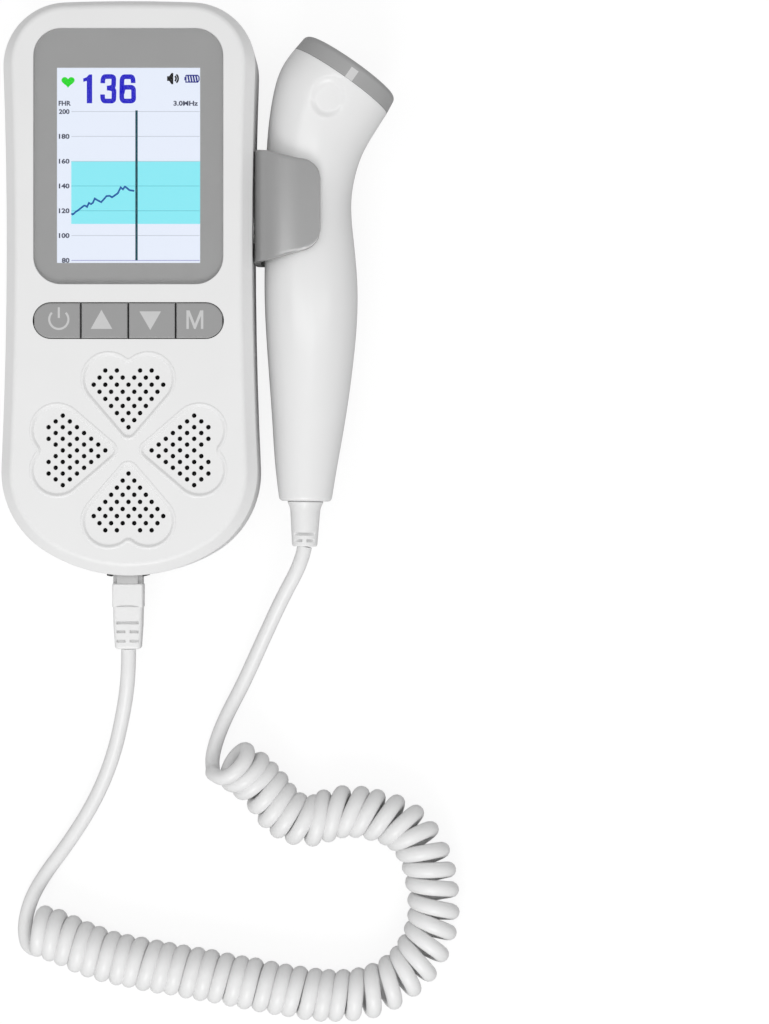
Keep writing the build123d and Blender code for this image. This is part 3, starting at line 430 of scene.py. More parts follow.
# the cord: plug lead, curly part, probe lead
cord = {
    "wireRadius": 1.9,
    "coilWireRadius": 2.08,    # the turns press against one another
    "coilMean": 4.78,
    "turns": 46.5,
    "sides": 14,
    "turnSteps": 30,
    "smoothAngle": 60.0,
    "joint": 2.4,              # how far a lead runs straight on from the curly part
    "heldPoints": 30,          # of a lead, a count of points at its plug or probe end
    "looseShare": 0.8,         # of a lead, a share along its way
    # how many turns there are up to a share of the curly part's way
    "turnTable": ((0.0, 0.0), (0.1, 5.2), (0.215, 11.25), (0.32, 16.5), (0.435, 22.2), (0.484, 24.1),
                  (0.71, 33.2), (0.785, 36.45), (0.867, 40.3), (0.931, 43.4), (1.0, 46.5)),
    # how far a turn's two sides lean along the cord, in millimetres, after so many turns
    "leanTable": ((0.0, -1.2), (3.0, -1.5), (5.0, -0.8), (8.0, -0.1), (16.0, -0.4), (20.0, -0.1),
                  (24.0, 0.5), (30.0, 0.3), (36.0, 1.0), (38.2, 1.9), (39.4, 2.1), (40.4, 1.0),
                  (41.3, -0.8), (42.2, -2.0), (43.0, -2.0), (43.9, -0.8), (44.8, 0.7), (46.5, 0.6)),
    # unevenness from turn to turn: size, pace in radians a turn, start
    "spreadWaves": ((0.012, 1.7, 0.0), (0.008, 4.1, 1.0)),    # as shares of the mean radius
    "swayWave": (0.18, 2.3, 0.7),    # in millimetres along the cord
    # centre-line points in millimetres
    "plugLead": ((-1.2, -92.45, 14.0), (-1.2, -98.45, 13.6), (-2.6, -108.0, 10.4), (-5.8, -121.0, 6.6),
                 (-10.8, -132.6, 3.6), (-17.6, -143.4, 2.1), (-24.6, -152.6, 1.95), (-28.2, -159.2, 1.95),
                 (-29.7, -165.6, 1.95), (-29.2, -170.2, 2.2), (-27.6, -171.7, 3.0)),
    "coil": ((-25.9, -166.3, 6.85), (-20.5, -167.6, 6.85), (-10.3, -172.6, 6.85), (3.6, -175.5, 6.85),
             (17.9, -177.9, 6.85), (33.6, -181.0, 6.85), (49.3, -183.7, 6.85), (61.5, -182.9, 6.85),
             (70.4, -177.8, 6.85), (75.9, -170.5, 6.85), (78.0, -162.4, 6.85), (77.5, -153.7, 6.85),
             (75.2, -145.2, 6.85), (70.3, -138.8, 6.85), (62.3, -135.9, 6.85), (53.2, -135.0, 6.85),
             (45.0, -138.4, 6.85), (38.6, -135.9, 6.85), (34.0, -129.6, 6.85), (29.0, -124.6, 7.6),
             (24.4, -121.9, 10.6)),
    "probeLead": ((44.35, -66.0, 15.0), (43.6, -70.0, 14.8), (38.4, -79.5, 11.6), (33.0, -91.0, 7.0),
                  (28.0, -102.0, 3.6), (23.2, -111.0, 2.1), (20.6, -117.6, 1.95), (19.6, -122.2, 2.4),
                  (20.1, -125.0, 5.2)),
    "plugLeadLength": 0.094,
    "coilLength": 1.42,
    "probeLeadLength": 0.075,
}


def routeLine(points, steps=24):
    # the points of the smooth line that a route's control points give
    data = bpy.data.curves.new("route", "CURVE")
    data.dimensions = "3D"
    data.resolution_u = steps
    spline = data.splines.new("NURBS")
    spline.points.add(len(points) - 1)
    for point, place in zip(spline.points, points):
        point.co = (*(Vector(place) * mm), 1.0)
    spline.order_u = 3
    spline.use_endpoint_u = True
    holder = bpy.data.objects.new("route", data)
    bpy.context.scene.collection.objects.link(holder)
    bpy.context.view_layer.update()
    mesh = bpy.data.meshes.new_from_object(holder)
    line = [v.co.copy() for v in mesh.vertices]
    bpy.data.objects.remove(holder)
    return line


def lineLength(line):
    return sum((b - a).length for a, b in zip(line, line[1:]))


def tubeMesh(name, line, radii):
    # a closed tube with a radius for each point of its line, its rings carried on without twist
    sides = cord["sides"]
    ahead = [(b - a).normalized() for a, b in zip(line, line[1:])]
    ahead = [ahead[0]] + [(a + b).normalized() for a, b in zip(ahead, ahead[1:])] + [ahead[-1]]
    side = ahead[0].orthogonal().normalized()
    tube = bmesh.new()
    last = None
    for place, way, radius in zip(line, ahead, radii):
        side = (side - way * side.dot(way)).normalized()
        other = way.cross(side)
        ring = [tube.verts.new(place + (side * math.cos(a) + other * math.sin(a)) * radius)
                for a in (2 * math.pi * i / sides for i in range(sides))]
        if last:
            for i in range(sides):
                tube.faces.new((last[i], last[(i + 1) % sides], ring[(i + 1) % sides], ring[i]))
        else:
            tube.faces.new(list(reversed(ring)))
        last = ring
    tube.faces.new(last)
    bmesh.ops.recalc_face_normals(tube, faces=tube.faces)
    mesh = meshFrom(name, tube)
    smoothMesh(mesh, cord["smoothAngle"])
    return mesh


def wave(turn, size, pace, start):
    return size * math.sin(turn * pace + start)


def helixLine(axis):
    # left-handed turns, set along the axis by the turn table
    across = cord["coilMean"] * mm
    ways = [(b - a).normalized() for a, b in zip(axis, axis[1:])]
    ways.append(ways[-1])
    along = np.cumsum([0.0] + [(b - a).length for a, b in zip(axis, axis[1:])])
    shares, counts = zip(*cord["turnTable"])
    wanted = np.linspace(0.0, cord["turns"], int(cord["turns"] * cord["turnSteps"]) + 1)
    placed = np.interp(wanted, counts, shares) * along[-1]
    leans = np.interp(wanted, *zip(*cord["leanTable"])) * mm
    places = [np.interp(placed, along, [p[i] for p in axis]) for i in range(3)]
    headings = [np.interp(placed, along, [w[i] for w in ways]) for i in range(3)]
    line = []
    for turn, lean, place, heading in zip(wanted, leans, zip(*places), zip(*headings)):
        way = Vector(heading).normalized()
        left = Vector((-way.y, way.x, 0.0)).normalized()
        angle = math.pi - 2 * math.pi * turn
        spread = across * (1.0 + sum(wave(turn, *given) for given in cord["spreadWaves"]))
        sway = lean * math.cos(angle) + wave(turn, *cord["swayWave"]) * mm
        arm = (left * math.cos(angle) + way.cross(left) * math.sin(angle)) * spread
        line.append(Vector(place) + way * sway + arm)
    return line


def leadLine(points, near, beyond):
    # a lead's line, which meets the curly part's end in line with its last turn
    away = (near - beyond).normalized()
    return routeLine(list(points) + [tuple((near + away * cord["joint"] * mm) / mm), tuple(near / mm)])


def cordPiece(name, line, radii):
    return newPiece(name, tubeMesh(name, line, radii), "cord_white")


def makeCord():
    radius, coilRadius = cord["wireRadius"] * mm, cord["coilWireRadius"] * mm
    turns = helixLine(routeLine(cord["coil"]))
    plugLine = leadLine(cord["plugLead"], turns[0], turns[1])
    probeLine = leadLine(cord["probeLead"], turns[-1], turns[-2])
    taper = (0, cord["turnSteps"], len(turns) - cord["turnSteps"], len(turns))
    swell = np.interp(range(len(turns)), taper, (radius, coilRadius, coilRadius, radius))
    coil = cordPiece("curlyCord", turns, swell)
    plugLead = cordPiece("plugLead", plugLine, [radius] * len(plugLine))
    probeLead = cordPiece("probeLead", probeLine, [radius] * len(probeLine))
    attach(coil, "unit")
    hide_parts("cord_coil")
    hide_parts("cord_plug_lead")
    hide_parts("cord_probe_lead")
    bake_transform(plugLead)
    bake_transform(probeLead)
    print("cord lengths", [round(lineLength(line), 4) for line in (plugLine, turns, probeLine)])


makeCord()
print("cord made")

# the probe: two smooth shells with a thumb dish
probe = {
    "axisX": 45.5,
    "axisZ": 15.0,
    "wall": 1.8,
    "seam": 0.13,
    "frontSteps": (200, 84),    # rows along and steps round
    "rearSteps": (110, 42),
    "footRound": 0.9,
    "footSteps": 6,
    "seamSteps": 2,
    "seamAngle": 55.0,
    "smoothAngle": 50.0,
    # each row is y, sideways shift, half width, half thickness, lean in degrees
    "stations": ((-54.3, -0.95, 6.7, 6.4, -1.0), (-46.0, -0.75, 7.9, 7.6, 0.0),
                 (-34.6, -0.15, 9.3, 8.9, 0.0), (-19.0, 0.4, 10.95, 10.4, 0.0),
                 (0.0, 0.5, 12.0, 11.1, 0.0), (13.0, 0.1, 11.4, 10.8, 0.0),
                 (23.0, -0.1, 11.0, 10.7, 0.0), (31.0, 0.5, 11.6, 10.9, -3.0),
                 (38.5, 1.75, 12.6, 11.6, -11.4), (46.0, 4.0, 14.0, 12.9, -19.4),
                 (51.35, 6.3, 14.6, 14.0, -28.3), (53.93, 8.12, 14.43, 14.43, -34.5)),
    "dishPlace": (50.7, 48.0),
    "dishTurn": -20.0,     # degrees
    "dishHalf": (4.7, 5.1),
    "dishRim": 0.3,        # share of the dish's half width that slopes
    "dishDepth": 0.62,
}


def easyCurve(knots, values):
    # a cubic spline without end bending, as a function of the knot value
    knots, values = np.array(knots, float), np.array(values, float)
    gaps = np.diff(knots)
    count = len(knots)
    table, right = np.zeros((count, count)), np.zeros(count)
    table[0, 0] = table[-1, -1] = 1.0
    for i in range(1, count - 1):
        table[i, i - 1:i + 2] = gaps[i - 1], 2 * (gaps[i - 1] + gaps[i]), gaps[i]
        right[i] = 6 * ((values[i + 1] - values[i]) / gaps[i] - (values[i] - values[i - 1]) / gaps[i - 1])
    second = np.linalg.solve(table, right)

    def at(place):
        i = int(np.clip(np.searchsorted(knots, place) - 1, 0, count - 2))
        gap, low, high = gaps[i], place - knots[i], knots[i + 1] - place
        bend = (second[i] * high ** 3 + second[i + 1] * low ** 3) / (6 * gap)
        before = (values[i] / gap - second[i] * gap / 6) * high
        after = (values[i + 1] / gap - second[i + 1] * gap / 6) * low
        return bend + before + after
    return at


def probeSection():
    # the probe's length along its middle, and a row of the stations' kind for each place on it
    rows = probe["stations"]
    centres = [Vector((row[0], row[1])) for row in rows]
    knots = [0.0]
    for a, b in zip(centres, centres[1:]):
        knots.append(knots[-1] + (b - a).length)
    curves = [easyCurve(knots, [row[i] for row in rows]) for i in range(5)]
    return knots[-1], lambda place: [curve(place) for curve in curves]


def probePoint(row, angle, inset):
    y, shift, halfWide, halfThick, lean = row
    turn = math.radians(lean)
    across = math.cos(angle) * (halfWide - inset)
    x = probe["axisX"] + shift + across * math.cos(turn)
    z = probe["axisZ"] + math.sin(angle) * (halfThick - inset)
    return Vector((x, y + across * math.sin(turn), z))


def dishShare(place):
    # how deep the thumb dish is at a place, from 0 to 1
    away = Vector((place.x - probe["dishPlace"][0], place.y - probe["dishPlace"][1]))
    along = turned(away, math.radians(probe["dishTurn"]))
    reach = math.hypot(along.x / probe["dishHalf"][0], along.y / probe["dishHalf"][1])
    if reach >= 1.0 or place.z < probe["axisZ"]:
        return 0.0
    inner = min((1.0 - reach) / probe["dishRim"], 1.0)
    return inner * inner * (3 - 2 * inner)


def makeProbeShell(name, first, steps):
    # half of the probe's skin, from the angle where it starts, rounded at its foot
    length, section = probeSection()
    rowCount, stepCount = steps
    foot = probe["footRound"]
    turns = [0.5 * math.pi * i / probe["footSteps"] for i in range(probe["footSteps"])]
    places = [(foot * (1 - math.cos(a)), foot * (1 - math.sin(a))) for a in turns]
    places += [(foot + (length - foot) * i / rowCount, 0.0) for i in range(rowCount + 1)]
    shell = bmesh.new()
    rings = []
    for along, tuck in places:
        row = section(along)
        ring = []
        for i in range(stepCount + 1):
            angle = first + math.pi * i / stepCount
            place = probePoint(row, angle, tuck)
            outward = (place - probePoint(row, angle, tuck + 1.0)).normalized()
            place -= outward * probe["dishDepth"] * dishShare(place)
            ring.append(shell.verts.new(place * mm))
        rings.append(ring)
    for low, high in zip(rings, rings[1:]):
        for i in range(stepCount):
            shell.faces.new((low[i], low[i + 1], high[i + 1], high[i]))
    bmesh.ops.recalc_face_normals(shell, faces=shell.faces)
    mesh = meshFrom(name, shell)
    mesh.materials.append(materials["probe_white"])
    piece = newPiece(name, mesh, "case_white", "probe")
    addWall(piece, probe["wall"])
    addRound(piece, probe["seam"], probe["seamSteps"], probe["seamAngle"])
    keepModifiers(piece)
    smoothMesh(piece.data, probe["smoothAngle"])
    return piece


def makeProbe():
    front = makeProbeShell("probeFrontSkin", 0.0, probe["frontSteps"])
    rear = makeProbeShell("probeRearSkin", math.pi, probe["rearSteps"])
    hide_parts("probe_front_shell")
    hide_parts("probe_rear_shell")


makeProbe()
print("probe made")

# the lit picture under the window
picture = {
    "left": -18.175,
    "top": 55.665,
    "size": (36.35, 49.55),
    "drawn": (36.72, 48.96),    # the grid that the shapes are drawn on
    "level": 25.92,
    "layer": 0.012,
    "glow": 1.0,
    "unlit": 0.01,
    "rough": 0.4,
    "shine": 0.05,
    "dotPitch": 0.153,
    "dotDepth": 0.2,
    "dimShare": 0.7,            # of a lit colour, for the dimmer one that shows between dots
    "bold": 0.034,
    "back": (233, 240, 254),
    "band": (139, 236, 247),
    "grid": (190, 196, 208),
    "bandGrid": (92, 190, 204),
    "lastLine": (120, 116, 190),
    "dark": (0, 66, 80),
    "trace": (0, 84, 160),
    "ink": (60, 64, 86),
    "blue": (26, 20, 196),
    "green": (26, 216, 30),
    "black": (0, 0, 4),
    "cell": (30, 36, 132),
}

# the chart, drawn in millimetres from the picture's top left corner
chart = {
    "spill": 0.4,               # past the picture's edge
    "firstLine": 10.86,
    "lineStep": 6.228,
    "lineLeft": 3.6,
    "lineMargin": 0.2,
    "lineHalf": 0.07,
    "numbers": ("200", "180", "160", "140", "120", "100", "80"),
    "numberLeft": {3: 0.37, 2: 1.12},    # by how many figures it has
    "numberRight": 3.1,
    "numberHalf": 0.62,
    "bandLeft": 3.55,
    "bandRise": 0.05,
    "bandLines": (2, 4.53),     # where the band starts and ends, in line steps
    "linesInBand": (3, 4),
    "cursor": (20.0, 20.62),
    "cursorRise": 0.3,
    "traceWidth": 0.46,
    "trace": ((3.6, 36.4), (3.85, 36.7), (4.1, 36.6), (4.75, 36.0), (5.25, 35.7), (5.9, 35.2),
              (6.25, 34.9), (6.85, 34.5), (7.15, 34.5), (7.6, 34.8), (8.1, 33.8), (8.6, 34.1),
              (9.1, 33.8), (9.6, 32.7), (10.25, 33.1), (11.25, 33.6), (11.9, 32.9), (12.6, 32.1),
              (13.4, 32.0), (14.0, 32.4), (14.75, 31.9), (15.5, 31.4), (16.25, 29.9), (16.8, 30.4),
              (17.35, 29.7), (17.9, 30.1), (18.5, 30.6), (19.2, 30.7), (19.75, 30.8)),
}

# the large figures of the rate
figures = {
    "stroke": 1.2,
    "one": ((8.1, 1.53), (8.92, 1.53), (8.92, 8.77), (7.53, 8.77), (7.53, 3.15), (6.66, 3.4),
            (6.6, 2.55), (7.55, 2.2)),
    "threeTop": ((11.65, 3.75), (11.6, 2.1), (12.95, 2.05), (14.5, 2.05), (14.45, 3.5), (14.4, 4.9),
                 (12.7, 4.95)),
    "threeLow": ((12.7, 4.95), (14.6, 5.0), (14.5, 6.6), (14.5, 8.25), (12.95, 8.2), (11.5, 8.2),
                 (11.6, 6.55)),
    "six": ((19.45, 3.7), (19.5, 2.1), (18.1, 2.1), (16.6, 2.1), (16.55, 4.2), (16.5, 6.2),
            (16.55, 8.2), (18.05, 8.2), (19.6, 8.2), (19.55, 6.5), (19.55, 4.75), (18.05, 4.75),
            (16.8, 4.75), (16.65, 6.3)),
}

# the small marks: heart, words, loudspeaker with its sound, battery; boxes are left, top, right, bottom
marks = {
    "heart": (1.03, 2.2, 4.43, 4.95),
    "heartSteps": 48,
    "words": (("FHR", 0.3, 8.15, 3.45, 9.4), ("3.0MHz", 29.8, 8.15, 36.1, 9.4)),
    "speaker": ((28.15, 1.98), (28.7, 1.98), (29.3, 1.15), (29.75, 1.15), (29.75, 4.0), (29.3, 4.0),
                (28.7, 3.16), (28.15, 3.16)),
    "soundCentre": (29.6, 2.57),
    "soundRadii": (0.85, 1.4),
    "soundSpread": 48,          # degrees to each side
    "soundSteps": 8,
    "soundWidth": 0.44,
    "battery": ((33.0, 1.75), (36.0, 1.75), (36.35, 2.2), (36.35, 3.0), (36.0, 3.45), (33.0, 3.45),
                (33.0, 1.75)),
    "batteryWidth": 0.3,
    "batteryTip": (32.6, 2.2, 33.0, 3.0),
    "barCount": 4,
    "barStart": 33.35,
    "barStep": 0.68,
    "bar": ((-0.03, 1.85), (0.4, 1.85), (0.68, 3.35), (0.25, 3.35)),
}


def makeDotRows():
    # a mask of display dots in rows, from 0 on a dot to its depth between dots
    group, given, result = newGroup("dotRows", [("Pitch", 0.153), ("Depth", 0.3)], ["Mask"])
    place = addNode(group, "ShaderNodeTexCoord").outputs["Object"]
    parts = addNode(group, "ShaderNodeSeparateXYZ", {0: place})
    turns = mathNode(group, "DIVIDE", 2.0 * math.pi / mm, given.outputs["Pitch"])
    waves = []
    for axis in ("X", "Y"):
        swing = mathNode(group, "SINE", mathNode(group, "MULTIPLY", parts.outputs[axis], turns))
        waves.append(mathNode(group, "MULTIPLY_ADD", swing, 0.25, 0.25))
    both = mathNode(group, "ADD", *waves)
    group.links.new(mathNode(group, "MULTIPLY", both, given.outputs["Depth"]), result.inputs["Mask"])
    return group


dotGroup = makeDotRows()


def pictureInk(name, colour):
    # a lit colour seen through rows of display dots
    material = bpy.data.materials.new(name)
    material.use_nodes = True
    tree = material.node_tree
    shader = tree.nodes["Principled BSDF"]
    dots = addNode(tree, "ShaderNodeGroup", {"Pitch": picture["dotPitch"], "Depth": picture["dotDepth"]},
                   node_tree=dotGroup)
    full = tone(*colour)
    dim = (*[channel * picture["dimShare"] for channel in full[:3]], 1.0)
    tree.links.new(mixed(tree, dots.outputs["Mask"], full, dim), shader.inputs["Emission Color"])
    shader.inputs["Emission Strength"].default_value = picture["glow"]
    shader.inputs["Base Color"].default_value = (*[picture["unlit"]] * 3, 1)
    shader.inputs["Roughness"].default_value = picture["rough"]
    shader.inputs["Specular IOR Level"].default_value = picture["shine"]
    return material


def lineRibbon(points, width, sharpest=0.6):
    # a flat stroke along points as one quad for each run, mitred at its turns
    places = [Vector(p) for p in points]
    ways = [(b - a).normalized() for a, b in zip(places, places[1:])]
    ahead = [ways[0]] + [(a + b).normalized() for a, b in zip(ways, ways[1:])] + [ways[-1]]
    edges = []
    for i, (place, way) in enumerate(zip(places, ahead)):
        straight = ways[min(i, len(ways) - 1)]
        side = Vector((-way.y, way.x)) * (width / 2 / max(way.dot(straight), sharpest))
        edges.append((place + side, place - side))
    return [[a, c, d, b] for (a, b), (c, d) in zip(edges, edges[1:])]


def softLine(points, steps=5):
    # a smooth flat line through the pull of a few points
    line = routeLine([(x, y, 0.0) for x, y in points], steps)
    return [(p.x / mm, p.y / mm) for p in line]


def letterShapes(text, left, top, right, bottom):
    # the faces of a word, stretched into a box
    data = bpy.data.curves.new("word", "FONT")
    data.body = text
    data.resolution_u = 4
    data.offset = picture["bold"]
    holder = bpy.data.objects.new("word", data)
    bpy.context.scene.collection.objects.link(holder)
    bpy.context.view_layer.update()
    mesh = bpy.data.meshes.new_from_object(holder)
    bpy.data.objects.remove(holder)
    xs, ys = [v.co.x for v in mesh.vertices], [v.co.y for v in mesh.vertices]
    wide, high = (right - left) / (max(xs) - min(xs)), (bottom - top) / (max(ys) - min(ys))
    places = [Vector((left + (x - min(xs)) * wide, bottom - (y - min(ys)) * high)) for x, y in zip(xs, ys)]
    return [[places[i] for i in face.vertices] for face in mesh.polygons]


def boxShape(left, top, right, bottom):
    return [(left, top), (right, top), (right, bottom), (left, bottom)]


def soundArc(radius):
    (x, y), spread, steps = marks["soundCentre"], marks["soundSpread"], marks["soundSteps"]
    angles = [math.radians(2 * spread * i / steps - spread) for i in range(steps + 1)]
    return [(x + radius * math.cos(a), y - radius * math.sin(a)) for a in angles]


def heartShape(left, top, right, bottom):
    # the usual heart curve, 32 wide, stretched into a box
    points = []
    for i in range(marks["heartSteps"]):
        a = 2 * math.pi * i / marks["heartSteps"]
        points.append((16 * math.sin(a) ** 3,
                       -(13 * math.cos(a) - 5 * math.cos(2 * a) - 2 * math.cos(3 * a) - math.cos(4 * a))))
    low, high = min(y for _, y in points), max(y for _, y in points)
    return [((left + right) / 2 + x / 32 * (right - left), top + (y - low) / (high - low) * (bottom - top))
            for x, y in points]


def chartShapes():
    # each shape is its ink, its layer and its outlines
    (wide, high), spill = picture["drawn"], chart["spill"]
    first, step, words = chart["firstLine"], chart["lineStep"], chart["numbers"]
    bandTop, bandLow = (first + lines * step for lines in chart["bandLines"])
    band = boxShape(chart["bandLeft"], bandTop - chart["bandRise"], wide + spill, bandLow)
    shapes = [("back", 0, [boxShape(-spill, -spill, wide + spill, high + spill)]), ("band", 1, [band])]
    thin, tall = chart["lineHalf"], chart["numberHalf"]
    lineLeft, lineRight = chart["lineLeft"], wide - chart["lineMargin"]
    for index, word in enumerate(words):
        y = first + step * index
        ink = "bandGrid" if index in chart["linesInBand"] else "grid"
        if word == words[-1]:
            ink = "lastLine"
        shapes.append((ink, 2, [boxShape(lineLeft, y - thin, lineRight, y + thin)]))
        left = chart["numberLeft"][len(word)]
        shapes.append(("ink", 2, letterShapes(word, left, y - tall, chart["numberRight"], y + tall)))
    left, right = chart["cursor"]
    shapes.append(("dark", 3, [boxShape(left, first - chart["cursorRise"], right, y)]))
    shapes.append(("trace", 4, lineRibbon(chart["trace"], chart["traceWidth"])))
    return shapes


def figureShapes():
    shapes = [("blue", 2, [figures["one"]])]
    for name, layer in (("threeTop", 2), ("threeLow", 3), ("six", 2)):
        shapes.append(("blue", layer, lineRibbon(softLine(figures[name]), figures["stroke"])))
    return shapes


def markShapes():
    shapes = [("green", 2, [heartShape(*marks["heart"])])]
    for word, *box in marks["words"]:
        shapes.append(("ink", 2, letterShapes(word, *box)))
    shapes.append(("black", 2, [marks["speaker"]]))
    for radius in marks["soundRadii"]:
        shapes.append(("black", 2, lineRibbon(soundArc(radius), marks["soundWidth"])))
    shapes.append(("cell", 2, lineRibbon(marks["battery"], marks["batteryWidth"])))
    shapes.append(("cell", 2, [boxShape(*marks["batteryTip"])]))
    for index in range(marks["barCount"]):
        start = marks["barStart"] + index * marks["barStep"]
        shapes.append(("cell", 2, [[(start + x, y) for x, y in marks["bar"]]]))
    return shapes


def makePicture():
    # all shapes on one sheet, a thin layer apart where they overlap
    sheet = bmesh.new()
    inks = []
    wide, high = (size / drawn for size, drawn in zip(picture["size"], picture["drawn"]))
    for ink, layer, outlines in chartShapes() + figureShapes() + markShapes():
        if ink not in inks:
            inks.append(ink)
        level = picture["level"] + layer * picture["layer"]
        for outline in outlines:
            corners = [Vector((picture["left"] + x * wide, picture["top"] - y * high, level)) * mm
                       for x, y in outline]
            face = sheet.faces.new([sheet.verts.new(corner) for corner in corners])
            face.material_index = inks.index(ink)
            face.normal_update()
            if face.normal.z < 0:
                face.normal_flip()
    bmesh.ops.triangulate(sheet, faces=[f for f in sheet.faces if len(f.verts) > 4])
    mesh = meshFrom("litPicture", sheet)
    for ink in inks:
        mesh.materials.append(pictureInk("lit_" + ink, picture[ink]))
    newPiece("litPicture", mesh, "display", "unit")


makePicture()
print("picture lit")

# the signs printed on the keys
sign = {
    "level": 28.25,
    "rise": 0.02,
    "sunk": 0.03,
    "weld": 1e-7,
    "powerPlace": (-17.57, -8.28),
    "powerRadius": 2.43,
    "powerWidth": 0.54,
    "powerGap": 46.0,           # degrees left open on each side of the top
    "powerSteps": 40,
    "powerBar": (0.36, 3.07),   # from and to, above the ring's centre
    "up": ((-6.76, -5.85), (-9.5, -10.7), (-4.02, -10.7)),
    "down": ((2.85, -6.25), (8.35, -6.25), (5.62, -11.0)),
    "modeBox": (14.76, -6.0, 19.06, -10.72),
    "modeStroke": 0.62,
    "modeSlope": 1.35,
    "modeShoulder": 1.3,        # in strokes
    "ink": {"dark": (194,), "light": (201,), "wornAndSheenTone": (196,), "grain": 0.15, "drift": 3.0, "rough": 0.5,
            "roughSpread": 0.05, "bump": 0.05, "wearAndSheenWidth": 0.1, "wearAndSheen": 0.2},
}

signInk = plastic("signInk", sign["ink"])


def raisedShapes(name, outlines, body):
    # thin printed shapes that stand a hair above the key
    low, high = sign["level"] - sign["sunk"], sign["level"] + sign["rise"]
    slab = bmesh.new()
    for outline in outlines:
        top = [slab.verts.new(Vector((x, y, high)) * mm) for x, y in outline]
        bottom = [slab.verts.new(Vector((x, y, low)) * mm) for x, y in outline]
        slab.faces.new(top)
        slab.faces.new(list(reversed(bottom)))
        for i in range(len(top)):
            j = (i + 1) % len(top)
            slab.faces.new((top[i], bottom[i], bottom[j], top[j]))
    bmesh.ops.remove_doubles(slab, verts=slab.verts, dist=sign["weld"])
    bmesh.ops.recalc_face_normals(slab, faces=slab.faces)
    mesh = meshFrom(name, slab)
    mesh.materials.append(signInk)
    newPiece(name, mesh, "mark_grey", body)


def powerShapes():
    # a ring that is open at the top, and a bar
    (x, y), radius, half = sign["powerPlace"], sign["powerRadius"], sign["powerWidth"] / 2
    gap, steps = sign["powerGap"], sign["powerSteps"]
    angles = [math.radians(gap + (360 - 2 * gap) * i / steps) for i in range(steps + 1)]
    ring = [(x + radius * math.sin(a), y + radius * math.cos(a)) for a in angles]
    low, high = sign["powerBar"]
    return lineRibbon(ring, sign["powerWidth"]) + [boxShape(x - half, y + low, x + half, y + high)]


def modeShape():
    # the letter's outline; its outer line is half of it and its mirror image
    left, top, right, low = sign["modeBox"]
    stroke, slope = sign["modeStroke"], sign["modeSlope"]
    middle, tip = (left + right) / 2, stroke / 3
    half = [(left, low), (left, top), (left + stroke * sign["modeShoulder"], top), (middle, low + slope)]
    letter = half + [(2 * middle - x, y) for x, y in reversed(half[:-1])]
    letter += [(right - stroke, low), (right - stroke, top - slope), (middle + tip, low)]
    letter += [(middle - tip, low), (left + stroke, top - slope), (left + stroke, low)]
    return letter


def makeSigns():
    raisedShapes("powerSign", powerShapes(), "power_key")
    raisedShapes("upSign", [sign["up"]], "up_key")
    raisedShapes("downSign", [sign["down"]], "down_key")
    raisedShapes("modeSign", [modeShape()], "mode_key")


makeSigns()
print("signs printed")

# the clip: one bent leaf over the probe, its rim rounded
clip = {
    "thick": 1.7,
    "rim": 0.7,
    "rimSteps": 3,
    "rimAngle": 50.0,
    "smoothAngle": 45.0,
    "reach": 48.72,
    "cornerRound": 4.4,
    "rows": 26,
    "lineSteps": 20,
    # outer line of the leaf in x and z, from the front tip round the back wall to the rear tip
    "section": ((48.72, 27.8), (45.2, 28.05), (42.3, 28.0), (38.8, 27.0), (34.8, 25.4), (32.1, 23.4),
                (31.5, 20.5), (31.46, 15.0), (31.5, 9.5), (32.1, 6.6), (34.8, 4.6), (38.8, 3.0),
                (42.3, 2.0), (45.2, 1.95), (48.72, 2.2)),
    # where the leaf ends along y, at each x
    "topEdge": ((31.5, 35.45), (35.0, 35.0), (38.5, 33.9), (42.6, 32.8), (48.72, 31.9)),
    "lowEdge": ((31.5, 6.75), (33.5, 6.9), (37.0, 7.5), (40.8, 8.5), (44.9, 9.4), (48.72, 10.0)),
    # the blocks that hold it to the case, from and to in x, y and z
    "stem": ((28.85, 32.65), (12.3, 28.2), (10.0, 15.5)),
    "foot": ((27.65, 28.85), (10.9, 29.6), (10.0, 20.0)),
}


def clipSkin():
    # the leaf's outer surface, its far corners rounded
    line = routeLine([(x, 0.0, z) for x, z in clip["section"]], clip["lineSteps"])
    radius, reach, rows = clip["cornerRound"], clip["reach"], clip["rows"]
    topEdge, lowEdge = list(zip(*clip["topEdge"])), list(zip(*clip["lowEdge"]))
    leaf = bmesh.new()
    columns = []
    for place in (Vector((p.x / mm, p.z / mm)) for p in line):
        over = max(place.x - (reach - radius), 0.0)
        drop = radius - math.sqrt(max(radius ** 2 - over ** 2, 0.0))
        top, low = np.interp(place.x, *topEdge) - drop, np.interp(place.x, *lowEdge) + drop
        columns.append([leaf.verts.new(Vector((place.x, low + (top - low) * i / rows, place.y)) * mm)
                        for i in range(rows + 1)])
    for one, two in zip(columns, columns[1:]):
        for i in range(rows):
            leaf.faces.new((one[i], one[i + 1], two[i + 1], two[i]))
    return meshFrom("clipLeaf", leaf)


def makeClip():
    piece = newPiece("clipLeaf", clipSkin(), "clip_grey", "unit")
    addWall(piece, clip["thick"])
    keepModifiers(piece)
    whole = bmesh.new()
    whole.from_mesh(piece.data)
    for xs, ys, zs in (clip["stem"], clip["foot"]):
        addBlock(whole, xs, (ys, ys), zs)
    bmesh.ops.recalc_face_normals(whole, faces=whole.faces)
    whole.to_mesh(piece.data)
    whole.free()
    addRound(piece, clip["rim"], clip["rimSteps"], clip["rimAngle"])
    keepModifiers(piece)
    smoothMesh(piece.data, clip["smoothAngle"])
    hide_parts("probe_clip")


makeClip()
print("clip made")

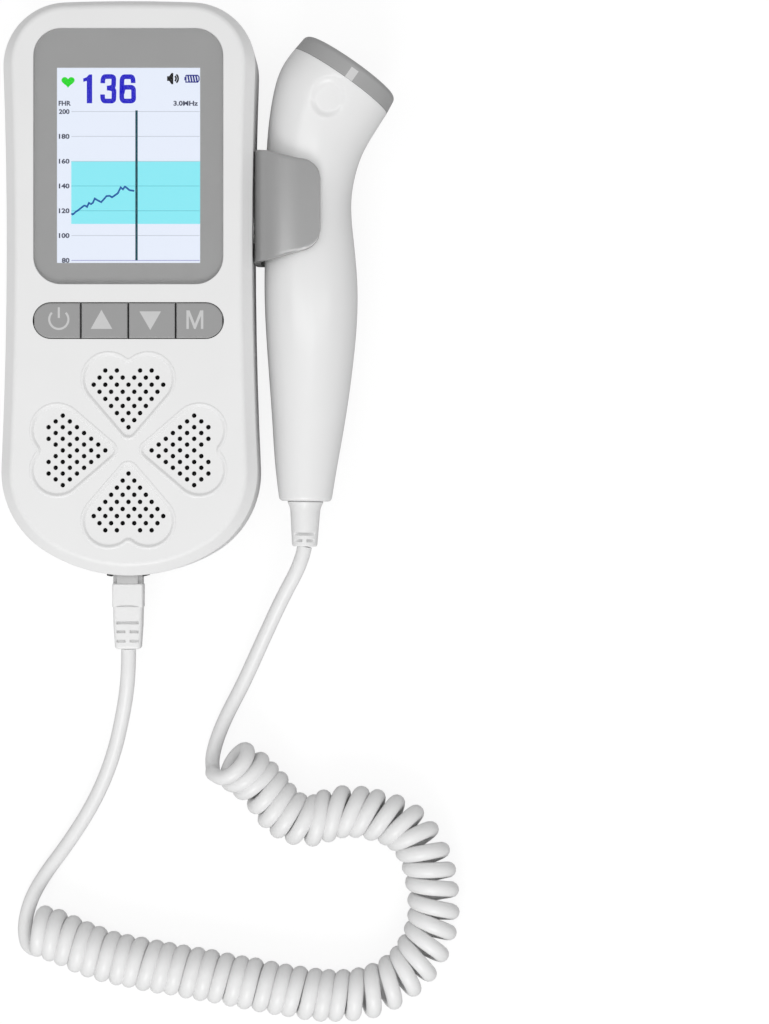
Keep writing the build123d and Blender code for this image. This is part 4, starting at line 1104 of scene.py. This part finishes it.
# the heart rims: a low rib that rolls over each heart's edge down to its floor
heartRim = {
    "centre": (0.0, -41.46),    # of the grille; the rest is drawn on the heart above it
    "count": 4,
    "face": 28.0,
    "tip": 2.3,
    "half": 11.4,
    "lean": 49.4,               # degrees, of the sides that rise from the tip
    "shoulder": 18.3,
    "lobeTop": (5.6, 24.4),
    "notch": 22.0,
    "tipRound": 2.0,
    "sideRound": 6.5,
    "notchRound": 1.6,
    "arcSteps": 14,
    "runStep": 0.8,
    "shortest": 0.01,
    "smoothAngle": 50.0,
    # the rib's section: growth beyond the heart's line, height over the face
    "section": ((0.9, -0.12), (0.75, 0.0), (0.52, 0.15), (0.27, 0.19), (0.06, 0.09), (-0.12, -0.12),
                (-0.28, -0.3), (-0.42, -0.42), (-0.6, -0.6)),
}


def sweptArc(centre, first, last, steps):
    near, far = first - centre, last - centre
    turn = near.angle_signed(far)
    return [centre + turned(near, turn * i / steps) for i in range(steps + 1)]


def cornerArc(before, corner, after, radius):
    # points of the round between two straight runs
    near, far = (before - corner).normalized(), (after - corner).normalized()
    half = near.angle(far) / 2
    centre = corner + (near + far).normalized() * (radius / math.sin(half))
    reach = radius / math.tan(half)
    return sweptArc(centre, corner + near * reach, corner + far * reach, heartRim["arcSteps"])


def circleCentre(a, b, c):
    # the centre of the circle through three points
    d = 2 * (a.x * (b.y - c.y) + b.x * (c.y - a.y) + c.x * (a.y - b.y))
    squares = [p.length_squared for p in (a, b, c)]
    x = squares[0] * (b.y - c.y) + squares[1] * (c.y - a.y) + squares[2] * (a.y - b.y)
    y = squares[0] * (c.x - b.x) + squares[1] * (a.x - c.x) + squares[2] * (b.x - a.x)
    return Vector((x / d, y / d))


def evenLine(line):
    # long runs of a closed line get points between their ends
    made = []
    for a, b in zip(line, line[1:] + line[:1]):
        if (b - a).length < heartRim["shortest"]:
            continue
        parts = max(1, round((b - a).length / heartRim["runStep"]))
        made += [a.lerp(b, i / parts) for i in range(parts)]
    return made


def heartLine():
    # the right half from the tip up to the notch, then its mirror image
    tip, half = Vector((0.0, heartRim["tip"])), heartRim["half"]
    corner = Vector((half, heartRim["tip"] + half * math.tan(math.radians(heartRim["lean"]))))
    shoulder, lobeTop = Vector((half, heartRim["shoulder"])), Vector(heartRim["lobeTop"])
    notch = Vector((0.0, heartRim["notch"]))
    tipArc = cornerArc(Vector((-corner.x, corner.y)), tip, corner, heartRim["tipRound"])
    sideArc = cornerArc(tip, corner, shoulder, heartRim["sideRound"])
    centre = circleCentre(shoulder, lobeTop, notch)
    radius, small = (shoulder - centre).length, heartRim["notchRound"]
    reach = radius + small
    notchCentre = Vector((0.0, centre.y + math.sqrt(reach ** 2 - centre.x ** 2)))
    meet = centre + (notchCentre - centre) * (radius / reach)
    steps = heartRim["arcSteps"] * 2
    line = tipArc[len(tipArc) // 2:] + sideArc + [shoulder] + sweptArc(centre, shoulder, meet, steps)[1:]
    line += sweptArc(notchCentre, meet, notchCentre - Vector((0.0, small)), steps)[1:]
    line += [Vector((-p.x, p.y)) for p in reversed(line[1:-1])]
    return evenLine(line)


def makeHeartRims():
    line = heartLine()
    (centreX, centreY), face = heartRim["centre"], heartRim["face"]
    shell = bmesh.new()
    for index in range(heartRim["count"]):
        turn = -index * 2 * math.pi / heartRim["count"]
        rings = []
        for before, place, after in zip(line[-1:] + line, line, line[1:] + line[:1]):
            ahead = (after - before).normalized()
            out = Vector((ahead.y, -ahead.x))
            ring = []
            for growth, height in heartRim["section"]:
                spot = turned(place + out * growth, turn)
                spot = Vector((spot.x + centreX, spot.y + centreY, face + height))
                ring.append(shell.verts.new(spot * mm))
            rings.append(ring)
        for one, two in zip(rings, rings[1:] + rings[:1]):
            for j in range(len(one)):
                k = (j + 1) % len(one)
                shell.faces.new((one[j], one[k], two[k], two[j]))
    bmesh.ops.recalc_face_normals(shell, faces=shell.faces)
    mesh = meshFrom("heartRims", shell)
    smoothMesh(mesh, heartRim["smoothAngle"])
    newPiece("heartRims", mesh, "case_white", "unit")


makeHeartRims()
print("heart rims made")

# a black frame in the socket's mouth, its cheeks a little proud on both sides of the plug: a dark piece
# set as painted shade where the open mouth lies in shadow
paintedShadeFrame = {
    "centre": -1.2,
    "half": 5.2,
    "opening": 3.95,
    "floor": -72.6,
    "cheekOut": -73.7,
    "cheekSlope": 0.2,
    "barOut": -73.2,
    "low": 9.6,
    "high": 18.4,
    "barThick": 0.8,
    "round": 0.12,
    "roundSteps": 2,
    "roundAngle": 30.0,
    "smoothAngle": 50.0,
}


def makePaintedShadeFrame():
    centre, half, opening = paintedShadeFrame["centre"], paintedShadeFrame["half"], paintedShadeFrame["opening"]
    low, high, thick = paintedShadeFrame["low"], paintedShadeFrame["high"], paintedShadeFrame["barThick"]
    floor, near = paintedShadeFrame["floor"], paintedShadeFrame["cheekOut"]
    far = near + paintedShadeFrame["cheekSlope"] * (half - opening)
    bar = (paintedShadeFrame["barOut"], floor)
    ring = bmesh.new()
    addBlock(ring, (centre - half, centre - opening), ((far, floor), (near, floor)), (low, high))
    addBlock(ring, (centre + opening, centre + half), ((near, floor), (far, floor)), (low, high))
    for base in (low, high - thick):
        addBlock(ring, (centre - opening, centre + opening), (bar, bar), (base, base + thick))
    bmesh.ops.recalc_face_normals(ring, faces=ring.faces)
    # the black frame is painted shade for the socket's shadowed mouth
    piece = newPiece("paintedShadeSocketFrame", meshFrom("paintedShadeSocketFrame", ring), "black_plastic", "unit")
    addRound(piece, paintedShadeFrame["round"], paintedShadeFrame["roundSteps"], paintedShadeFrame["roundAngle"])
    keepModifiers(piece)
    smoothMesh(piece.data, paintedShadeFrame["smoothAngle"])


makePaintedShadeFrame()
print("socket frame made")
